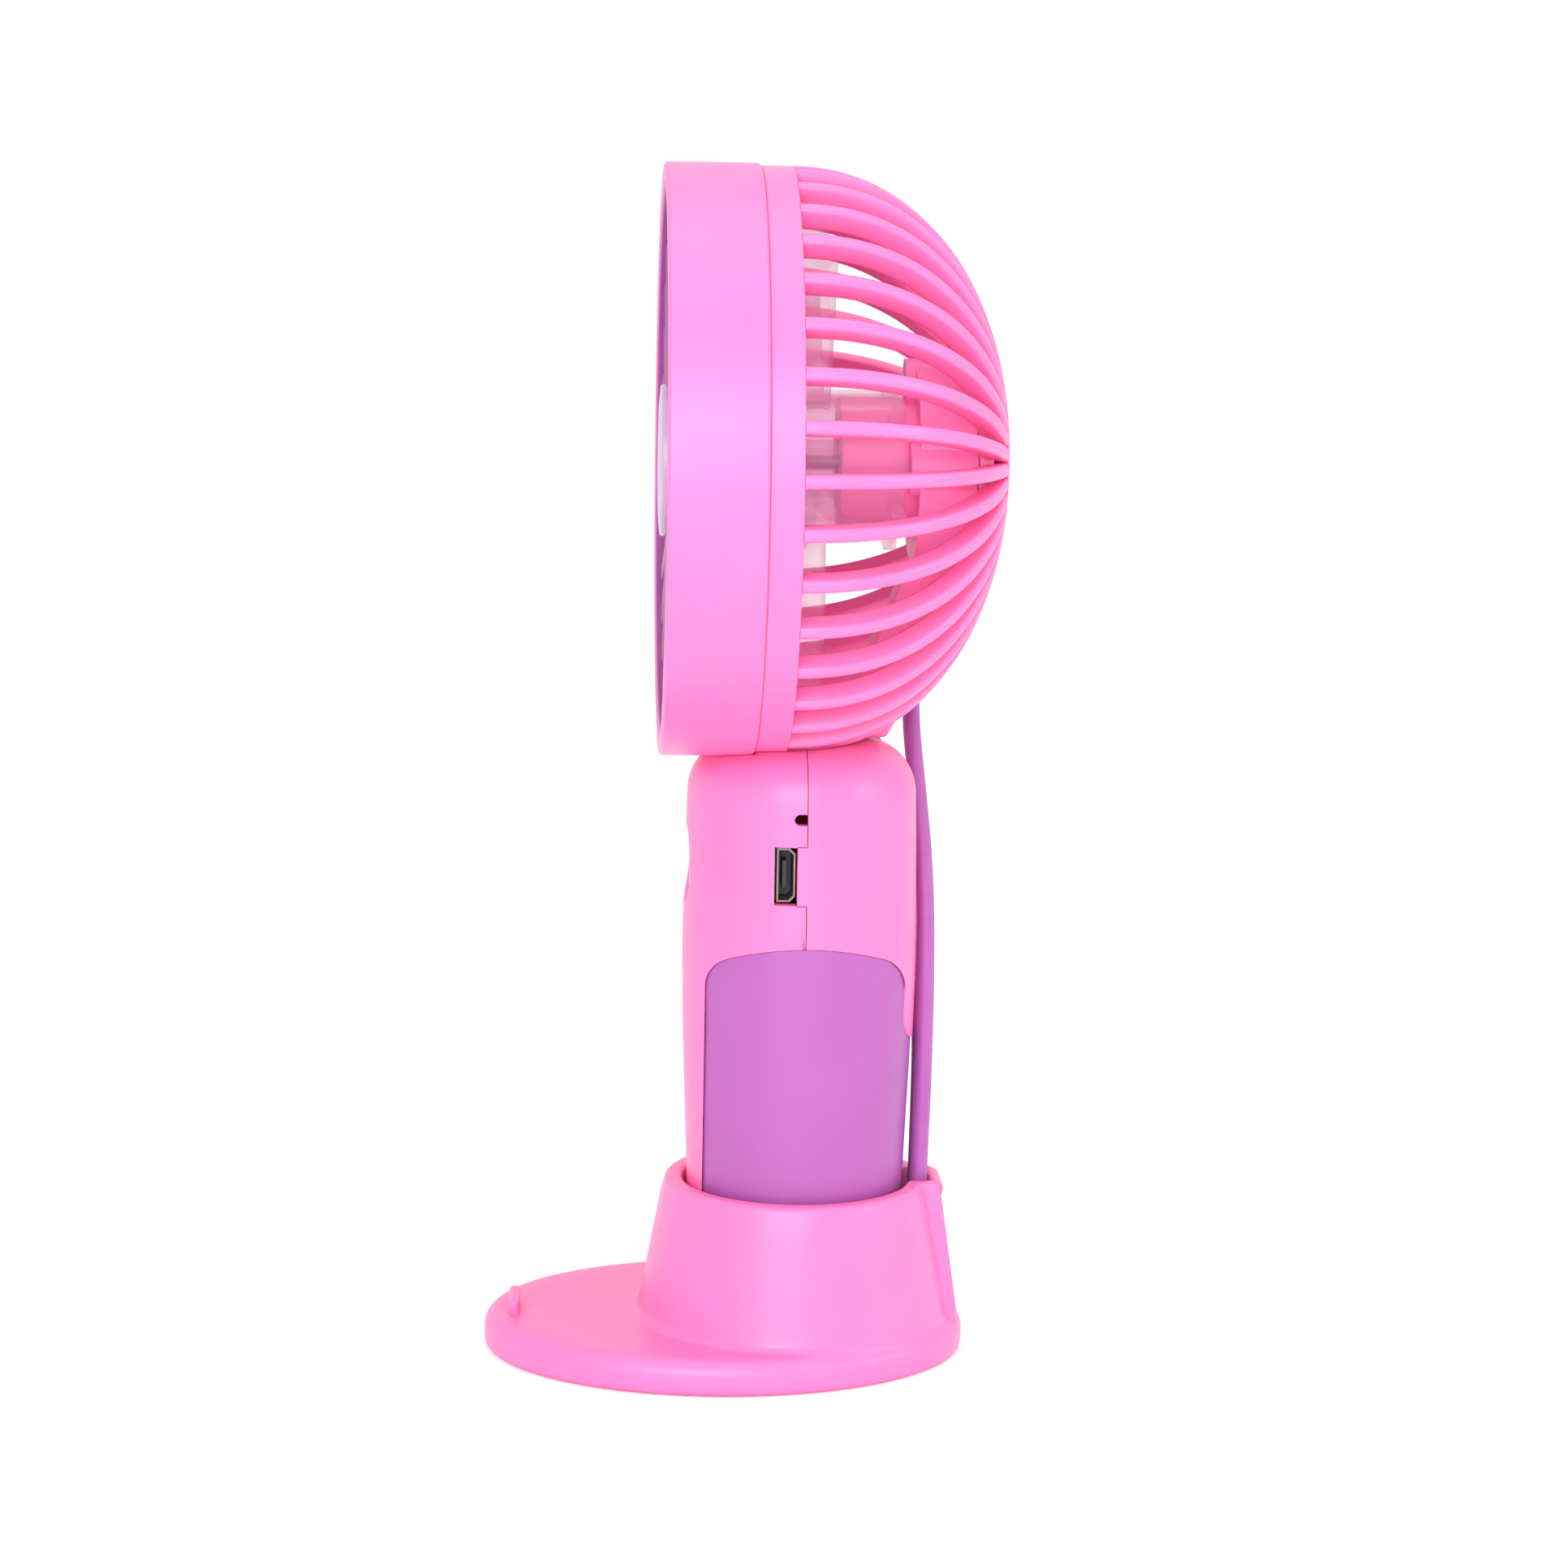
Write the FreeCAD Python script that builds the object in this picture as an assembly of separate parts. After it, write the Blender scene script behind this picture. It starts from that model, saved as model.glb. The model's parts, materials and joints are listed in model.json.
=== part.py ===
"""Handheld electric fan standing in its cradle base, modelled as separate pieces.

Frame: millimetres, +Z up, the front of the fan faces -Y. The origin is on the handle's axis,
in the plane that the base stands on. The head's axis runs along Y at head_z.
"""
import FreeCAD, Part
import os
from math import cos, pi, radians, sin, sqrt, tan

V = FreeCAD.Vector
AXIS_Y = V(0, 1, 0)
AXIS_Z = V(0, 0, 1)

# ---- Clearances -------------------------------------------------------------------------
seat_gap = 0.1            # between pieces of one body that seat on each other
snap_gap = 0.05           # between lips that snap together
air_gap = 0.35            # between a moving piece and what it passes
run_gap = 0.05            # radial, a shaft in its bush
press_gap = 0.02          # between pieces pressed or screwed together
lift_gap = 0.4            # radial, the handle in the cup of the base
rest_gap = 0.1            # under the handle, on the floor of the cup

# ---- Head -------------------------------------------------------------------------------
ring_r = 40.6             # head ring
saddle_sink = 2.2         # how far the head's underside sinks below the handle's top
ring_wall = 2.4
rim_round = 0.8
ring_front_y = -20.2
seam_y = -7.1             # where the head ring meets the cage
band_step = 0.35          # plain band of the cage, below the ring's surface
band_wall = 2.2
band_rear_y = -2.7
dome_nose = 3.3           # from the motor's mounting disc to the apex of the cage
dome_power = 2.15         # exponent of the dome's outline
rib_count = 36
rib_width = 1.9
rib_depth = 3.2
rib_phase = 0.0           # degrees, of the rib nearest to +X
cap_disc_r = 12.0         # plain disc where the ribs meet
lip_wall = 0.8            # snap lip of the cage inside the ring
lip_length = 3.4
shelf_wall = 1.0          # shelf of the ring between the grille and the lip
shelf_length = 1.4

# ---- Front grille -----------------------------------------------------------------------
grille_wall = 1.2
grille_setback = 0.2      # of the lining behind the rim
bar_count = 30
bar_width = 1.2
bar_depth = 2.0
bar_setback = 0.9
bar_swirl = 34.0          # degrees, from the hub to the lining
bar_bow = 9.0             # degrees, extra turn at mid radius
grille_hub_r = 9.6
grille_hub_wall = 1.4
grille_hub_depth = 4.2
cap_r = 10.4
cap_thick = 1.3
cap_proud = 0.4
cap_round = 0.4
cap_skirt_wall = 1.0
cap_skirt_depth = 2.2

# ---- Impeller ---------------------------------------------------------------------------
blade_count = 5
blade_tip_gap = 2.2       # inside the head ring
blade_thick = 1.2
blade_rear_y = 2.6
blade_root_width = 11.0   # along Y
blade_tip_width = 13.4    # along Y
blade_root_sweep = 6.0    # across Y
blade_tip_sweep = 20.0    # across Y
blade_camber = 1.8
hub_wall = 0.55
hub_nose_round = 3.0
hub_rim_width = 3.2       # of the hub's front face, round its recess
hub_nose_y = -9.0
hub_web_y = -4.2
hub_web_thick = 1.6
hub_rear_gap = 0.4        # to the bosses of the motor's housing
hub_boss_r = 2.6
hub_boss_rear_y = 3.5
fin_count = 5
fin_length = 2.6
fin_height = 2.6
fin_thick = 0.9
blade_phase = 14.0        # degrees, of the first blade from the top
fin_phase = 50.0

# ---- Motor and its housing --------------------------------------------------------------
can_r = 7.75
can_wall = 0.7
can_front_y = 5.5
can_length = 13.0
bell_length = 2.0
nose_r = 2.9
nose_length = 1.0
shaft_r = 1.0
shaft_front_y = -3.4
bush_r = 2.2
bush_length = 2.0
core_r = 5.2
core_spare = 7.0          # of the can's length, beyond the core's
core_slots = 3
core_slot_width = 2.2
core_lead = 2.6           # from the can's front to the core
core_hub_r = 2.2
core_pocket_half = 3.0
pole_shoe_thick = 1.1
winding_overhang = 0.9
winding_gap = 0.2         # between the turns and the core
commutator_gap = 1.2      # behind the core
brush_half = 0.8
brush_length = 1.4
brush_lag = 0.4           # of the brushes behind the commutator's front
brush_reach = 2.0
magnet_gap_half = 3.2     # between the two magnets
magnet_thick = 1.4
commutator_r = 2.0
commutator_length = 2.6
terminal_width = 2.0
terminal_thick = 0.4
terminal_length = 1.4
terminal_gap = 0.3        # to the mounting disc
terminal_x = 4.2
tube_wall = 1.15
housing_front_wall = 1.2
cup_step = 4.4            # from the tube to the cup
cup_wall = 1.5
cup_depth = 7.7
boss_r = 3.7
boss_proud = 0.9          # beyond the cup
boss_lead = 1.3           # in front of the cup
boss_angles = (0.0, 90.0, 180.0)
mount_disc_lap = 0.7      # beyond the cup
mount_disc_thick = 2.0

# ---- Wire duct and neck of the cage -----------------------------------------------------
duct_half_x = 3.2
duct_wall = 1.1
duct_low_y = 4.6          # front of the duct at the blade tips
duct_low_rear_y = 13.0
duct_sink = 0.5           # of the duct below the band's inside
duct_toe_height = 3.0
duct_heel_height = 6.0
neck_half_x = 6.0
neck_front_y = -6.9
neck_rear_y = 3.1
neck_channel_half_x = 2.4
neck_channel_front_y = -4.4
neck_channel_rear_y = 2.0
foot_rear_y = 9.0
foot_thick = 3.4
foot_floor = 1.6          # under the leads' passage
flange_grow = 2.2
flange_thick = 2.2

# ---- Handle -----------------------------------------------------------------------------
handle_bottom_z = 2.1
handle_swell = ((3.0, 0.0), (30.0, 0.35), (57.0, 1.15), (68.0, 1.0))
shoulder_swell = 0.7
handle_top_z = 87.2
handle_corner = 7.5
handle_edge = 0.8
shell_wall = 1.6
inner_wall = 1.35         # of the shells under the grip cover
crown_thick = 5.2         # from the upper cavity to the handle's top
cavity_bottom_gap = 2.7   # from the battery's contact to the upper cavity
cavity_corner = 3.0
floor_thick = 1.5
split_tab_depth = 1.35    # tab of the rear shell that closes the charging slot
shell_gap = 0.12          # between the two shells
dish_r = 5.7
dish_bottom_r = 4.6
dish_depth = 1.2

# ---- Grip cover -------------------------------------------------------------------------
cover_drop = 0.25         # below the handle's surface
cover_thick = 1.6
cover_front_y = -13.4
cover_peak_z = 60.2
cover_shoulder_drop = 2.0  # below the peak, where the arch begins and ends
cover_side_drop = 6.2     # below the peak, where the straight front edge ends
cover_shoulder_length = 3.05  # of the rounded corner in front of the arch
cover_rear_y = 10.8       # where the arch meets the rear corner
cover_corner_y = 14.4
cover_corner_drop = 7.0   # below the peak, where the rear corner ends
tongue_half_x = 7.4
tongue_corner = 4.0
tongue_drop = 14.9        # below the peak, the tongue's lower end

# ---- Handle screws ----------------------------------------------------------------------
post_r = 1.9
post_bite = 2.5           # how far the posts reach into the well
post_heights = (12.0, 52.0)
screw_r = 0.8
screw_head_r = 1.5
screw_head_length = 1.2
screw_sink = 0.6          # of the handle screws' heads below the cover
screw_reach = 5.0         # of the handle screws into the front shell
board_screw_reach = 4.0

# ---- Battery ----------------------------------------------------------------------------
cell_r = 9.1
cell_gap = 2.9            # round the cell, for its leads
cell_length = 50.0
cell_bottom_z = 7.0
cell_button_r = 3.0
cell_button_height = 0.8
spring_wire = 0.6
spring_r = 4.2
spring_turns = 3
contact_thick = 0.4
contact_half = 5.5
lead_r = 0.5

# ---- Circuit board ----------------------------------------------------------------------
board_rear_y = -4.2
board_thick = 1.0
board_left_gap = 2.4      # to the upper cavity's wall
board_right_gap = 1.8
board_bottom_gap = 0.9    # above the upper cavity's floor
board_top_gap = 2.4       # below the upper cavity's roof
board_screws_at = ((-9.2, 75.6), (8.4, 63.6))
usb_z = 70.3
usb_width = 7.5           # along Z
usb_height = 2.6          # along Y
usb_length = 5.6
usb_mouth_inset = 1.6     # behind the handle's surface
usb_sheet = 0.3
usb_chamfer = 0.8
usb_slot_margin = 0.25
usb_lift = 0.05           # off the board
usb_back_thick = 1.2
usb_tongue_inset = 0.9    # behind the mouth
usb_tongue_half = 1.9
usb_tongue_thick = 0.6
led_z = 78.1
led_slot_height = 1.55
led_slot_depth = 1.85
led_length = 2.2
led_width = 2.8
led_height = 1.4
chip_left = 8.6           # from the board's left edge
chip_size = 5.0
chip_height = 1.5
chip_z = 68.0
button_z = 69.6
button_r = 4.0
button_face_inset = 0.7   # behind the handle's surface
button_flange_r = 5.0
button_flange_thick = 0.8
button_travel = 0.3
switch_size = 6.0
switch_depth = 3.4
switch_lip = 0.8          # front wall of the switch's body
switch_floor = 0.6
plunger_r = 1.7
plunger_flange_r = 2.2

# ---- Base -------------------------------------------------------------------------------
plate_half_y = 34.0
plate_side_margin = 3.8   # beside the foot of the cup
plate_rear_margin = 1.8   # behind the foot of the cup
plate_thick = 5.0
plate_round = 2.2
plate_foot_round = 1.2
cup_rim_z = 24.6
cup_wall_thick = 2.7      # at the rim
cup_flare = 3.6           # from the rim to the top of the plate
cup_floor = 2.0
cup_rim_round = 1.0
channel_gap = 0.35        # beside and behind the strap
channel_floor_z = 3.0
bulge_wall = 1.3          # behind the channel, at the rim
bulge_side_wall = 1.5
bulge_flare = 2.9
bulge_round = 2.0
stop_inset = 4.2          # from the plate's front edge
stop_thick = 1.5
stop_half_x = 4.0
stop_height = 2.1

# ---- Strap ------------------------------------------------------------------------------
strap_d = 2.5
strap_half_gap = 1.6      # from the middle to each strand at the anchor
strap_exit_y = 17.3
strap_exit_z = 10.0
anchor_side_wall = 0.45
anchor_bottom_z = 3.8
anchor_tail_half_x = 1.8
strap_route = (
    (strap_half_gap, strap_exit_y, strap_exit_z),
    (1.5, 17.4, 24.0),
    (0.9, 17.9, 39.0),
    (-0.4, 18.1, 54.0),
    (-2.6, 17.9, 67.5),
    (-6.0, 16.8, 79.5),
    (-11.2, 16.0, 89.0),
    (-18.6, 17.0, 96.4),
    (-27.6, 17.2, 101.4),
    (-36.8, 14.2, 101.6),
    (-43.4, 9.8, 95.6),
    (-43.2, 6.6, 86.8),
    (-35.5, 6.2, 81.2),
    (-27.0, 8.2, 84.0),
    (-20.5, 10.9, 85.2),
    (-14.2, 13.2, 80.5),
    (-12.4, 14.8, 71.6),
    (-9.2, 16.9, 60.0),
    (-5.4, 18.0, 47.0),
    (-2.6, 17.7, 33.6),
    (-1.7, 17.4, 21.6),
    (-strap_half_gap, strap_exit_y, strap_exit_z),
)

# ---- Sizes that follow ------------------------------------------------------------------
well_r = cell_r + cell_gap
recess_inset = cover_drop + cover_thick + seat_gap
grip_r = well_r + inner_wall + recess_inset
handle_stations = [(z, grip_r + swell) for z, swell in handle_swell]
handle_stations.append((handle_top_z - handle_corner, grip_r + shoulder_swell))
cavity_r = grip_r + shoulder_swell - shell_wall
cavity_top_z = handle_top_z - crown_thick
head_z = handle_top_z - saddle_sink + ring_r
band_r = ring_r - band_step
band_inner_r = band_r - band_wall
ring_inner_r = ring_r - ring_wall
blade_tip_r = ring_inner_r - blade_tip_gap
lip_r = ring_inner_r - snap_gap
lip_front_y = seam_y - lip_length
shelf_rear_y = lip_front_y - seat_gap
shelf_front_y = shelf_rear_y - shelf_length
lining_r = ring_inner_r - snap_gap
lining_front_y = ring_front_y + grille_setback
lining_rear_y = shelf_front_y - seat_gap
bar_front_y = ring_front_y + bar_setback
bar_rear_y = bar_front_y + bar_depth
cap_face_y = ring_front_y - cap_proud
tube_inner_r = can_r + 2 * seat_gap
tube_r = tube_inner_r + tube_wall
can_rear_y = can_front_y + can_length
core_front_y = can_front_y + core_lead
core_length = can_length - core_spare
core_rear_y = core_front_y + core_length
bell_rear_y = can_rear_y + bell_length
hub_r = tube_r + air_gap + hub_wall
housing_front_y = can_front_y - seat_gap - housing_front_wall
cup_r = tube_r + cup_step
cup_rear_y = bell_rear_y + terminal_length + terminal_gap
cup_front_y = cup_rear_y - cup_depth
boss_front_y = cup_front_y - boss_lead
boss_centre_r = cup_r + boss_proud - boss_r
hub_rear_y = boss_front_y - hub_rear_gap
mount_disc_r = cup_r + mount_disc_lap
mount_disc_y = cup_rear_y + seat_gap
dome_apex_y = mount_disc_y + mount_disc_thick + dome_nose
dome_depth = dome_apex_y - band_rear_y
cover_side_z = cover_peak_z - cover_side_drop
cover_shoulder_z = cover_peak_z - cover_shoulder_drop
cover_corner_z = cover_peak_z - cover_corner_drop
tongue_z = cover_peak_z - tongue_drop
post_x = well_r + post_r - post_bite
board_front_y = board_rear_y - board_thick
button_flange_y = seat_gap - sqrt(cavity_r ** 2 - button_flange_r ** 2)
cell_top_z = cell_bottom_z + cell_length
contact_z = cell_top_z + cell_button_height
cavity_bottom_z = contact_z + cavity_bottom_gap
board_bottom_z = cavity_bottom_z + board_bottom_gap
board_top_z = cavity_top_z - board_top_gap
board_left_x = board_left_gap - cavity_r
board_right_x = cavity_r - board_right_gap


# ---- Shape helpers ----------------------------------------------------------------------
def box(x0, x1, y0, y1, z0, z1):
    return Part.makeBox(x1 - x0, y1 - y0, z1 - z0, V(x0, y0, z0))


def rod_y(radius, y0, y1, x=0.0, z=head_z):
    return Part.makeCylinder(radius, y1 - y0, V(x, y0, z), AXIS_Y)


def rod_z(radius, z0, z1, x=0.0, y=0.0):
    return Part.makeCylinder(radius, z1 - z0, V(x, y, z0), AXIS_Z)


def ring_about_head(outer, inner, y0, y1):
    return rod_y(outer, y0, y1).cut(rod_y(inner, y0 - 1, y1 + 1))


def turned(edges, centre, axis):
    """Solid of revolution from the edges of one closed half outline."""
    face = Part.Face(Part.Wire(Part.__sortEdges__(edges)))
    return face.revolve(centre, axis, 360)


def chain(points):
    return [Part.makeLine(a, b) for a, b in zip(points, points[1:])]


def around_head(shape, count, phase=0.0):
    """Copies of a shape in equal steps about the head's axis."""
    copies = []
    for i in range(count):
        copy = shape.copy()
        copy.rotate(V(0, 0, head_z), AXIS_Y, phase + i * 360.0 / count)
        copies.append(copy)
    return copies


def fused(shapes):
    return shapes[0].multiFuse(shapes[1:]).removeSplitter() if len(shapes) > 1 else shapes[0]


def wire_tube(points, radius):
    """Round wire along straight runs, with a ball at each corner."""
    corners = [V(*p) for p in points]
    pieces = [Part.makeCylinder(radius, (b - a).Length, a, b - a) for a, b in zip(corners, corners[1:])]
    pieces += [Part.makeSphere(radius, c) for c in corners[1:-1]]
    return fused(pieces)


def edges_where(shape, test):
    return [edge for edge in shape.Edges if test(edge)]


# ---- Outlines shared by several pieces --------------------------------------------------
def dome(grow):
    """Solid dome of the cage from the band to the apex, with its surface moved out by grow."""
    power = 2.0 / dome_power
    angles = [radians(90.0 * i / 10) for i in range(11)]
    outline = [V(0, band_rear_y + (dome_depth + grow) * sin(a) ** power,
                 head_z + (band_r + grow) * max(cos(a), 0.0) ** power) for a in angles[:-1]]
    outline.append(V(0, dome_apex_y + grow, head_z))
    curve = Part.BSplineCurve()
    curve.interpolate(Points=outline, InitialTangent=V(0, 1, 0), FinalTangent=V(0, 0, -1))
    centre = V(0, band_rear_y, head_z)
    edges = [curve.toShape()] + chain([outline[-1], centre, outline[0]])
    return turned(edges, V(0, 0, head_z), AXIS_Y)


def head_space(gap):
    """All that the head fills, from the ring's rim to the apex, with its surface moved out by gap."""
    ring = rod_y(ring_r + gap, ring_front_y - 1, seam_y + gap)
    band = rod_y(band_r + gap, seam_y, band_rear_y)
    return fused([ring, band, dome(gap)])


def handle_radius(z):
    """Outer radius of the handle between two of its stations."""
    for (z0, r0), (z1, r1) in zip(handle_stations, handle_stations[1:]):
        if z <= z1:
            return r0 + (r1 - r0) * max(z - z0, 0.0) / (z1 - z0)
    return handle_stations[-1][1]


def handle_side(grow):
    curve = Part.BSplineCurve()
    curve.interpolate([V(radius + grow, 0, z) for z, radius in handle_stations])
    return curve


def handle_column(grow, bottom_z):
    """The handle's side surface moved out by grow, closed flat at its last station."""
    side = handle_side(grow)
    start, end = side.StartPoint, side.EndPoint
    ends = [V(start.x, 0, bottom_z), V(0, 0, bottom_z), V(0, 0, end.z), end]
    return turned([side.toShape()] + chain([start] + ends), V(0, 0, 0), AXIS_Z)


def handle_body():
    """The whole handle as one block, with its round shoulder and the saddle for the head."""
    side = handle_side(0.0)
    start, end = side.StartPoint, side.EndPoint
    centre = V(end.x - handle_corner, 0, end.z)
    shoulder_top = V(centre.x, 0, handle_top_z)
    diagonal = handle_corner * sqrt(0.5)
    shoulder = Part.Arc(end, V(centre.x + diagonal, 0, centre.z + diagonal), shoulder_top)
    foot = [V(start.x, 0, handle_bottom_z + handle_edge), V(start.x - handle_edge, 0, handle_bottom_z)]
    loop = chain([shoulder_top, V(0, 0, handle_top_z), V(0, 0, handle_bottom_z), foot[1], foot[0], start])
    block = turned([side.toShape(), shoulder.toShape()] + loop, V(0, 0, 0), AXIS_Z)
    return block.cut(head_space(snap_gap))


def cover_outline(grow):
    """Prism across X that bounds the cover: straight front edge, round shoulders and a low arch."""
    front = cover_front_y - grow
    rear = handle_stations[0][1] + 5
    bottom = handle_bottom_z - 1
    side_top = V(0, front, cover_side_z)
    shoulder = V(0, front + cover_shoulder_length, cover_shoulder_z + grow)
    shoulder_mid = V(0, front + 0.31 * cover_shoulder_length,
                     cover_side_z + 0.6 * (cover_shoulder_z - cover_side_z) + grow)
    peak = V(0, 0.2, cover_peak_z + grow)
    rear_shoulder = V(0, cover_rear_y, cover_shoulder_z + grow)
    rear_length, rear_drop = cover_corner_y - cover_rear_y, cover_shoulder_z - cover_corner_z
    rear_mid = V(0, cover_rear_y + 0.69 * rear_length + grow, cover_shoulder_z - 0.4 * rear_drop + grow)
    rear_low = V(0, cover_corner_y + grow, cover_corner_z)
    rear_end = V(0, rear, cover_corner_z - 3)
    corner = Part.Arc(side_top, shoulder_mid, shoulder).toShape()
    arch = Part.Arc(shoulder, peak, rear_shoulder).toShape()
    rear_corner = Part.Arc(rear_shoulder, rear_mid, rear_low).toShape()
    loop = chain([rear_low, rear_end, V(0, rear, bottom), V(0, front, bottom), side_top])
    face = Part.Face(Part.Wire([corner, arch, rear_corner] + loop))
    face.translate(V(-30, 0, 0))
    prism = face.extrude(V(60, 0, 0))
    return prism.cut(tongue(-grow))


def tongue(grow):
    """The handle's tongue, at the rear between the two sides of the cover, as a prism along Y."""
    half, flat = tongue_half_x + grow, tongue_half_x - tongue_corner
    pieces = [box(-half, half, 0, 30, tongue_z + tongue_corner, cover_peak_z + 10),
              box(-flat, flat, 0, 30, tongue_z - grow, cover_peak_z)]
    pieces += [rod_y(tongue_corner + grow, 0, 30, x, tongue_z + tongue_corner) for x in (-flat, flat)]
    return fused(pieces)


def rear_side(grow):
    """Everything behind the split of the handle, with the tab that closes the charging slot."""
    half = usb_width / 2 + usb_slot_margin + grow
    tab = box(cavity_r - 3, 30, -split_tab_depth - grow, 1, usb_z - half, usb_z + half)
    return box(-30, 30, -grow, 30, 0, handle_top_z + 10).fuse(tab)


def split(shape, keep_rear):
    return shape.common(rear_side(0.0)) if keep_rear else shape.cut(rear_side(shell_gap))


# ---- Sizes that follow from the handle's surface ----------------------------------------
usb_mouth_x = handle_radius(usb_z) - usb_mouth_inset
button_face_y = button_face_inset - handle_radius(button_z)
cup_rim_r = handle_radius(cup_rim_z) + lift_gap + cup_wall_thick
cup_foot_r = cup_rim_r + cup_flare
plate_half_x = cup_foot_r + plate_side_margin
plate_centre_y = cup_foot_r + plate_rear_margin - plate_half_y
stop_y = plate_centre_y - plate_half_y + stop_inset
anchor_half_x = strap_half_gap + strap_d / 2 + anchor_side_wall
anchor_rear_y = strap_exit_y + strap_d / 2
channel_half_x = anchor_half_x + channel_gap
channel_rear_y = anchor_rear_y + channel_gap
bulge_half_x = channel_half_x + bulge_side_wall
bulge_rim_y = channel_rear_y + bulge_wall
bulge_foot_y = bulge_rim_y + bulge_flare


# ---- Head pieces ------------------------------------------------------------------------
def make_head_ring():
    ring = ring_about_head(ring_r, ring_inner_r, ring_front_y, seam_y)
    rim = edges_where(ring, lambda e: abs(e.BoundBox.YMax - ring_front_y) < 0.01)
    ring = ring.makeFillet(rim_round, rim)
    shelf = ring_about_head(ring_inner_r + 0.5, ring_inner_r - shelf_wall, shelf_front_y, shelf_rear_y)
    return ring.fuse(shelf).removeSplitter()


def cage_ribs():
    shell = dome(0.0).cut(dome(-rib_depth))
    slab = box(-rib_width / 2, rib_width / 2, band_rear_y - 1, dome_apex_y + 1,
               head_z + cap_disc_r - 1, head_z + band_r + 1)
    return around_head(slab.common(shell), rib_count, 90 - rib_phase)


def duct_profile(inset):
    """Slanted strut from the motor's cup down to the foot of the cage, at its full depth."""
    top_z = head_z - cup_r + 3 * cup_wall
    low_z = head_z - band_inner_r - duct_sink
    loop = [V(0, cup_front_y + inset, top_z), V(0, cup_rear_y - inset, top_z),
            V(0, cup_rear_y - inset, top_z - duct_heel_height), V(0, duct_low_rear_y - inset, low_z),
            V(0, duct_low_y - 1 + inset, low_z), V(0, duct_low_y + inset, low_z + duct_toe_height),
            V(0, cup_front_y + inset, top_z)]
    half = duct_half_x - inset
    face = Part.Face(Part.Wire(chain(loop)))
    face.translate(V(-half, 0, 0))
    return face.extrude(V(2 * half, 0, 0)).common(dome(-inset))


def neck(grow, top_z):
    return box(-neck_half_x - grow, neck_half_x + grow, neck_front_y - grow, neck_rear_y + grow,
               cavity_top_z - flange_thick, top_z)


def neck_flange():
    bottom_z = cavity_top_z - flange_thick - seat_gap
    return box(-neck_half_x - flange_grow, neck_half_x + flange_grow, neck_front_y - flange_grow / 2,
               neck_rear_y + flange_grow, bottom_z, cavity_top_z - seat_gap)


def screw_places(angles, radius):
    return [(radius * cos(radians(a)), head_z + radius * sin(radians(a))) for a in angles]


def make_rear_cage():
    band = ring_about_head(band_r, band_inner_r, seam_y, band_rear_y)
    lip = ring_about_head(lip_r, lip_r - lip_wall, lip_front_y, seam_y)
    web = ring_about_head(lip_r, lip_r - lip_wall, seam_y, seam_y + 2)
    apex = dome(0.0).cut(dome(-rib_depth)).common(rod_y(cap_disc_r, 0, dome_apex_y + 1))
    disc = rod_y(mount_disc_r, mount_disc_y, mount_disc_y + mount_disc_thick)
    foot_z = head_z - band_inner_r
    foot = box(-neck_half_x, neck_half_x, neck_front_y, foot_rear_y, foot_z - foot_thick, foot_z + 1)
    foot = foot.common(head_space(0.0))
    neck_top = head_z - band_inner_r
    cage = fused([band, lip, web, apex, disc, foot, neck(0.0, neck_top), neck_flange(), duct_profile(0.0)]
                 + cage_ribs())
    cage = cage.cut(duct_profile(duct_wall))
    channel = box(-neck_channel_half_x, neck_channel_half_x, neck_channel_front_y, neck_channel_rear_y,
                  cavity_top_z - 6, foot_z + 2)
    passage = box(-duct_half_x + duct_wall, duct_half_x - duct_wall, neck_channel_front_y, foot_rear_y,
                  foot_z - foot_thick + foot_floor, foot_z + 2)
    cage = cage.cut(fused([channel, passage, rod_y(cup_r + seat_gap, boss_front_y - 2, cup_rear_y)]))
    for x, z in screw_places(boss_angles, boss_centre_r):
        cage = cage.cut(rod_y(screw_r, cup_rear_y, mount_disc_y + mount_disc_thick + 1, x, z))
    return cage.removeSplitter()


def make_front_grille():
    lining = ring_about_head(lining_r, lining_r - grille_wall, lining_front_y, lining_rear_y)
    hub = ring_about_head(grille_hub_r, grille_hub_r - grille_hub_wall, bar_front_y,
                          bar_front_y + grille_hub_depth)
    return fused([lining, hub] + around_head(grille_bar(), bar_count))


def grille_bar():
    radii = (grille_hub_r - 0.7, 0.5 * (grille_hub_r + lining_r), lining_r - grille_wall + 0.5)
    turns = (0.0, 0.5 * bar_swirl + bar_bow, bar_swirl)

    def side(offset):
        points = []
        for radius, turn in zip(radii, turns):
            angle = radians(turn) + offset / radius
            points.append(V(radius * sin(angle), bar_front_y, head_z + radius * cos(angle)))
        return points

    left, right = side(-bar_width / 2), side(bar_width / 2)
    edges = [Part.Arc(*left).toShape(), Part.makeLine(left[2], right[2]),
             Part.Arc(*reversed(right)).toShape(), Part.makeLine(right[0], left[0])]
    return Part.Face(Part.Wire(edges)).extrude(V(0, bar_depth, 0))


def make_grille_cap():
    disc = rod_y(cap_r, cap_face_y, cap_face_y + cap_thick)
    disc = disc.makeFillet(cap_round, edges_where(disc, lambda e: abs(e.BoundBox.YMax - cap_face_y) < 0.01))
    skirt_r = grille_hub_r - grille_hub_wall - snap_gap
    base_y = max(cap_face_y + cap_thick, bar_front_y)
    skirt = ring_about_head(skirt_r, skirt_r - cap_skirt_wall, cap_face_y + cap_thick - 0.3,
                            base_y + cap_skirt_depth)
    return disc.cut(rod_y(cap_r + 1, bar_front_y - snap_gap, bar_front_y + 1)).fuse(skirt).removeSplitter()


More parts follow.
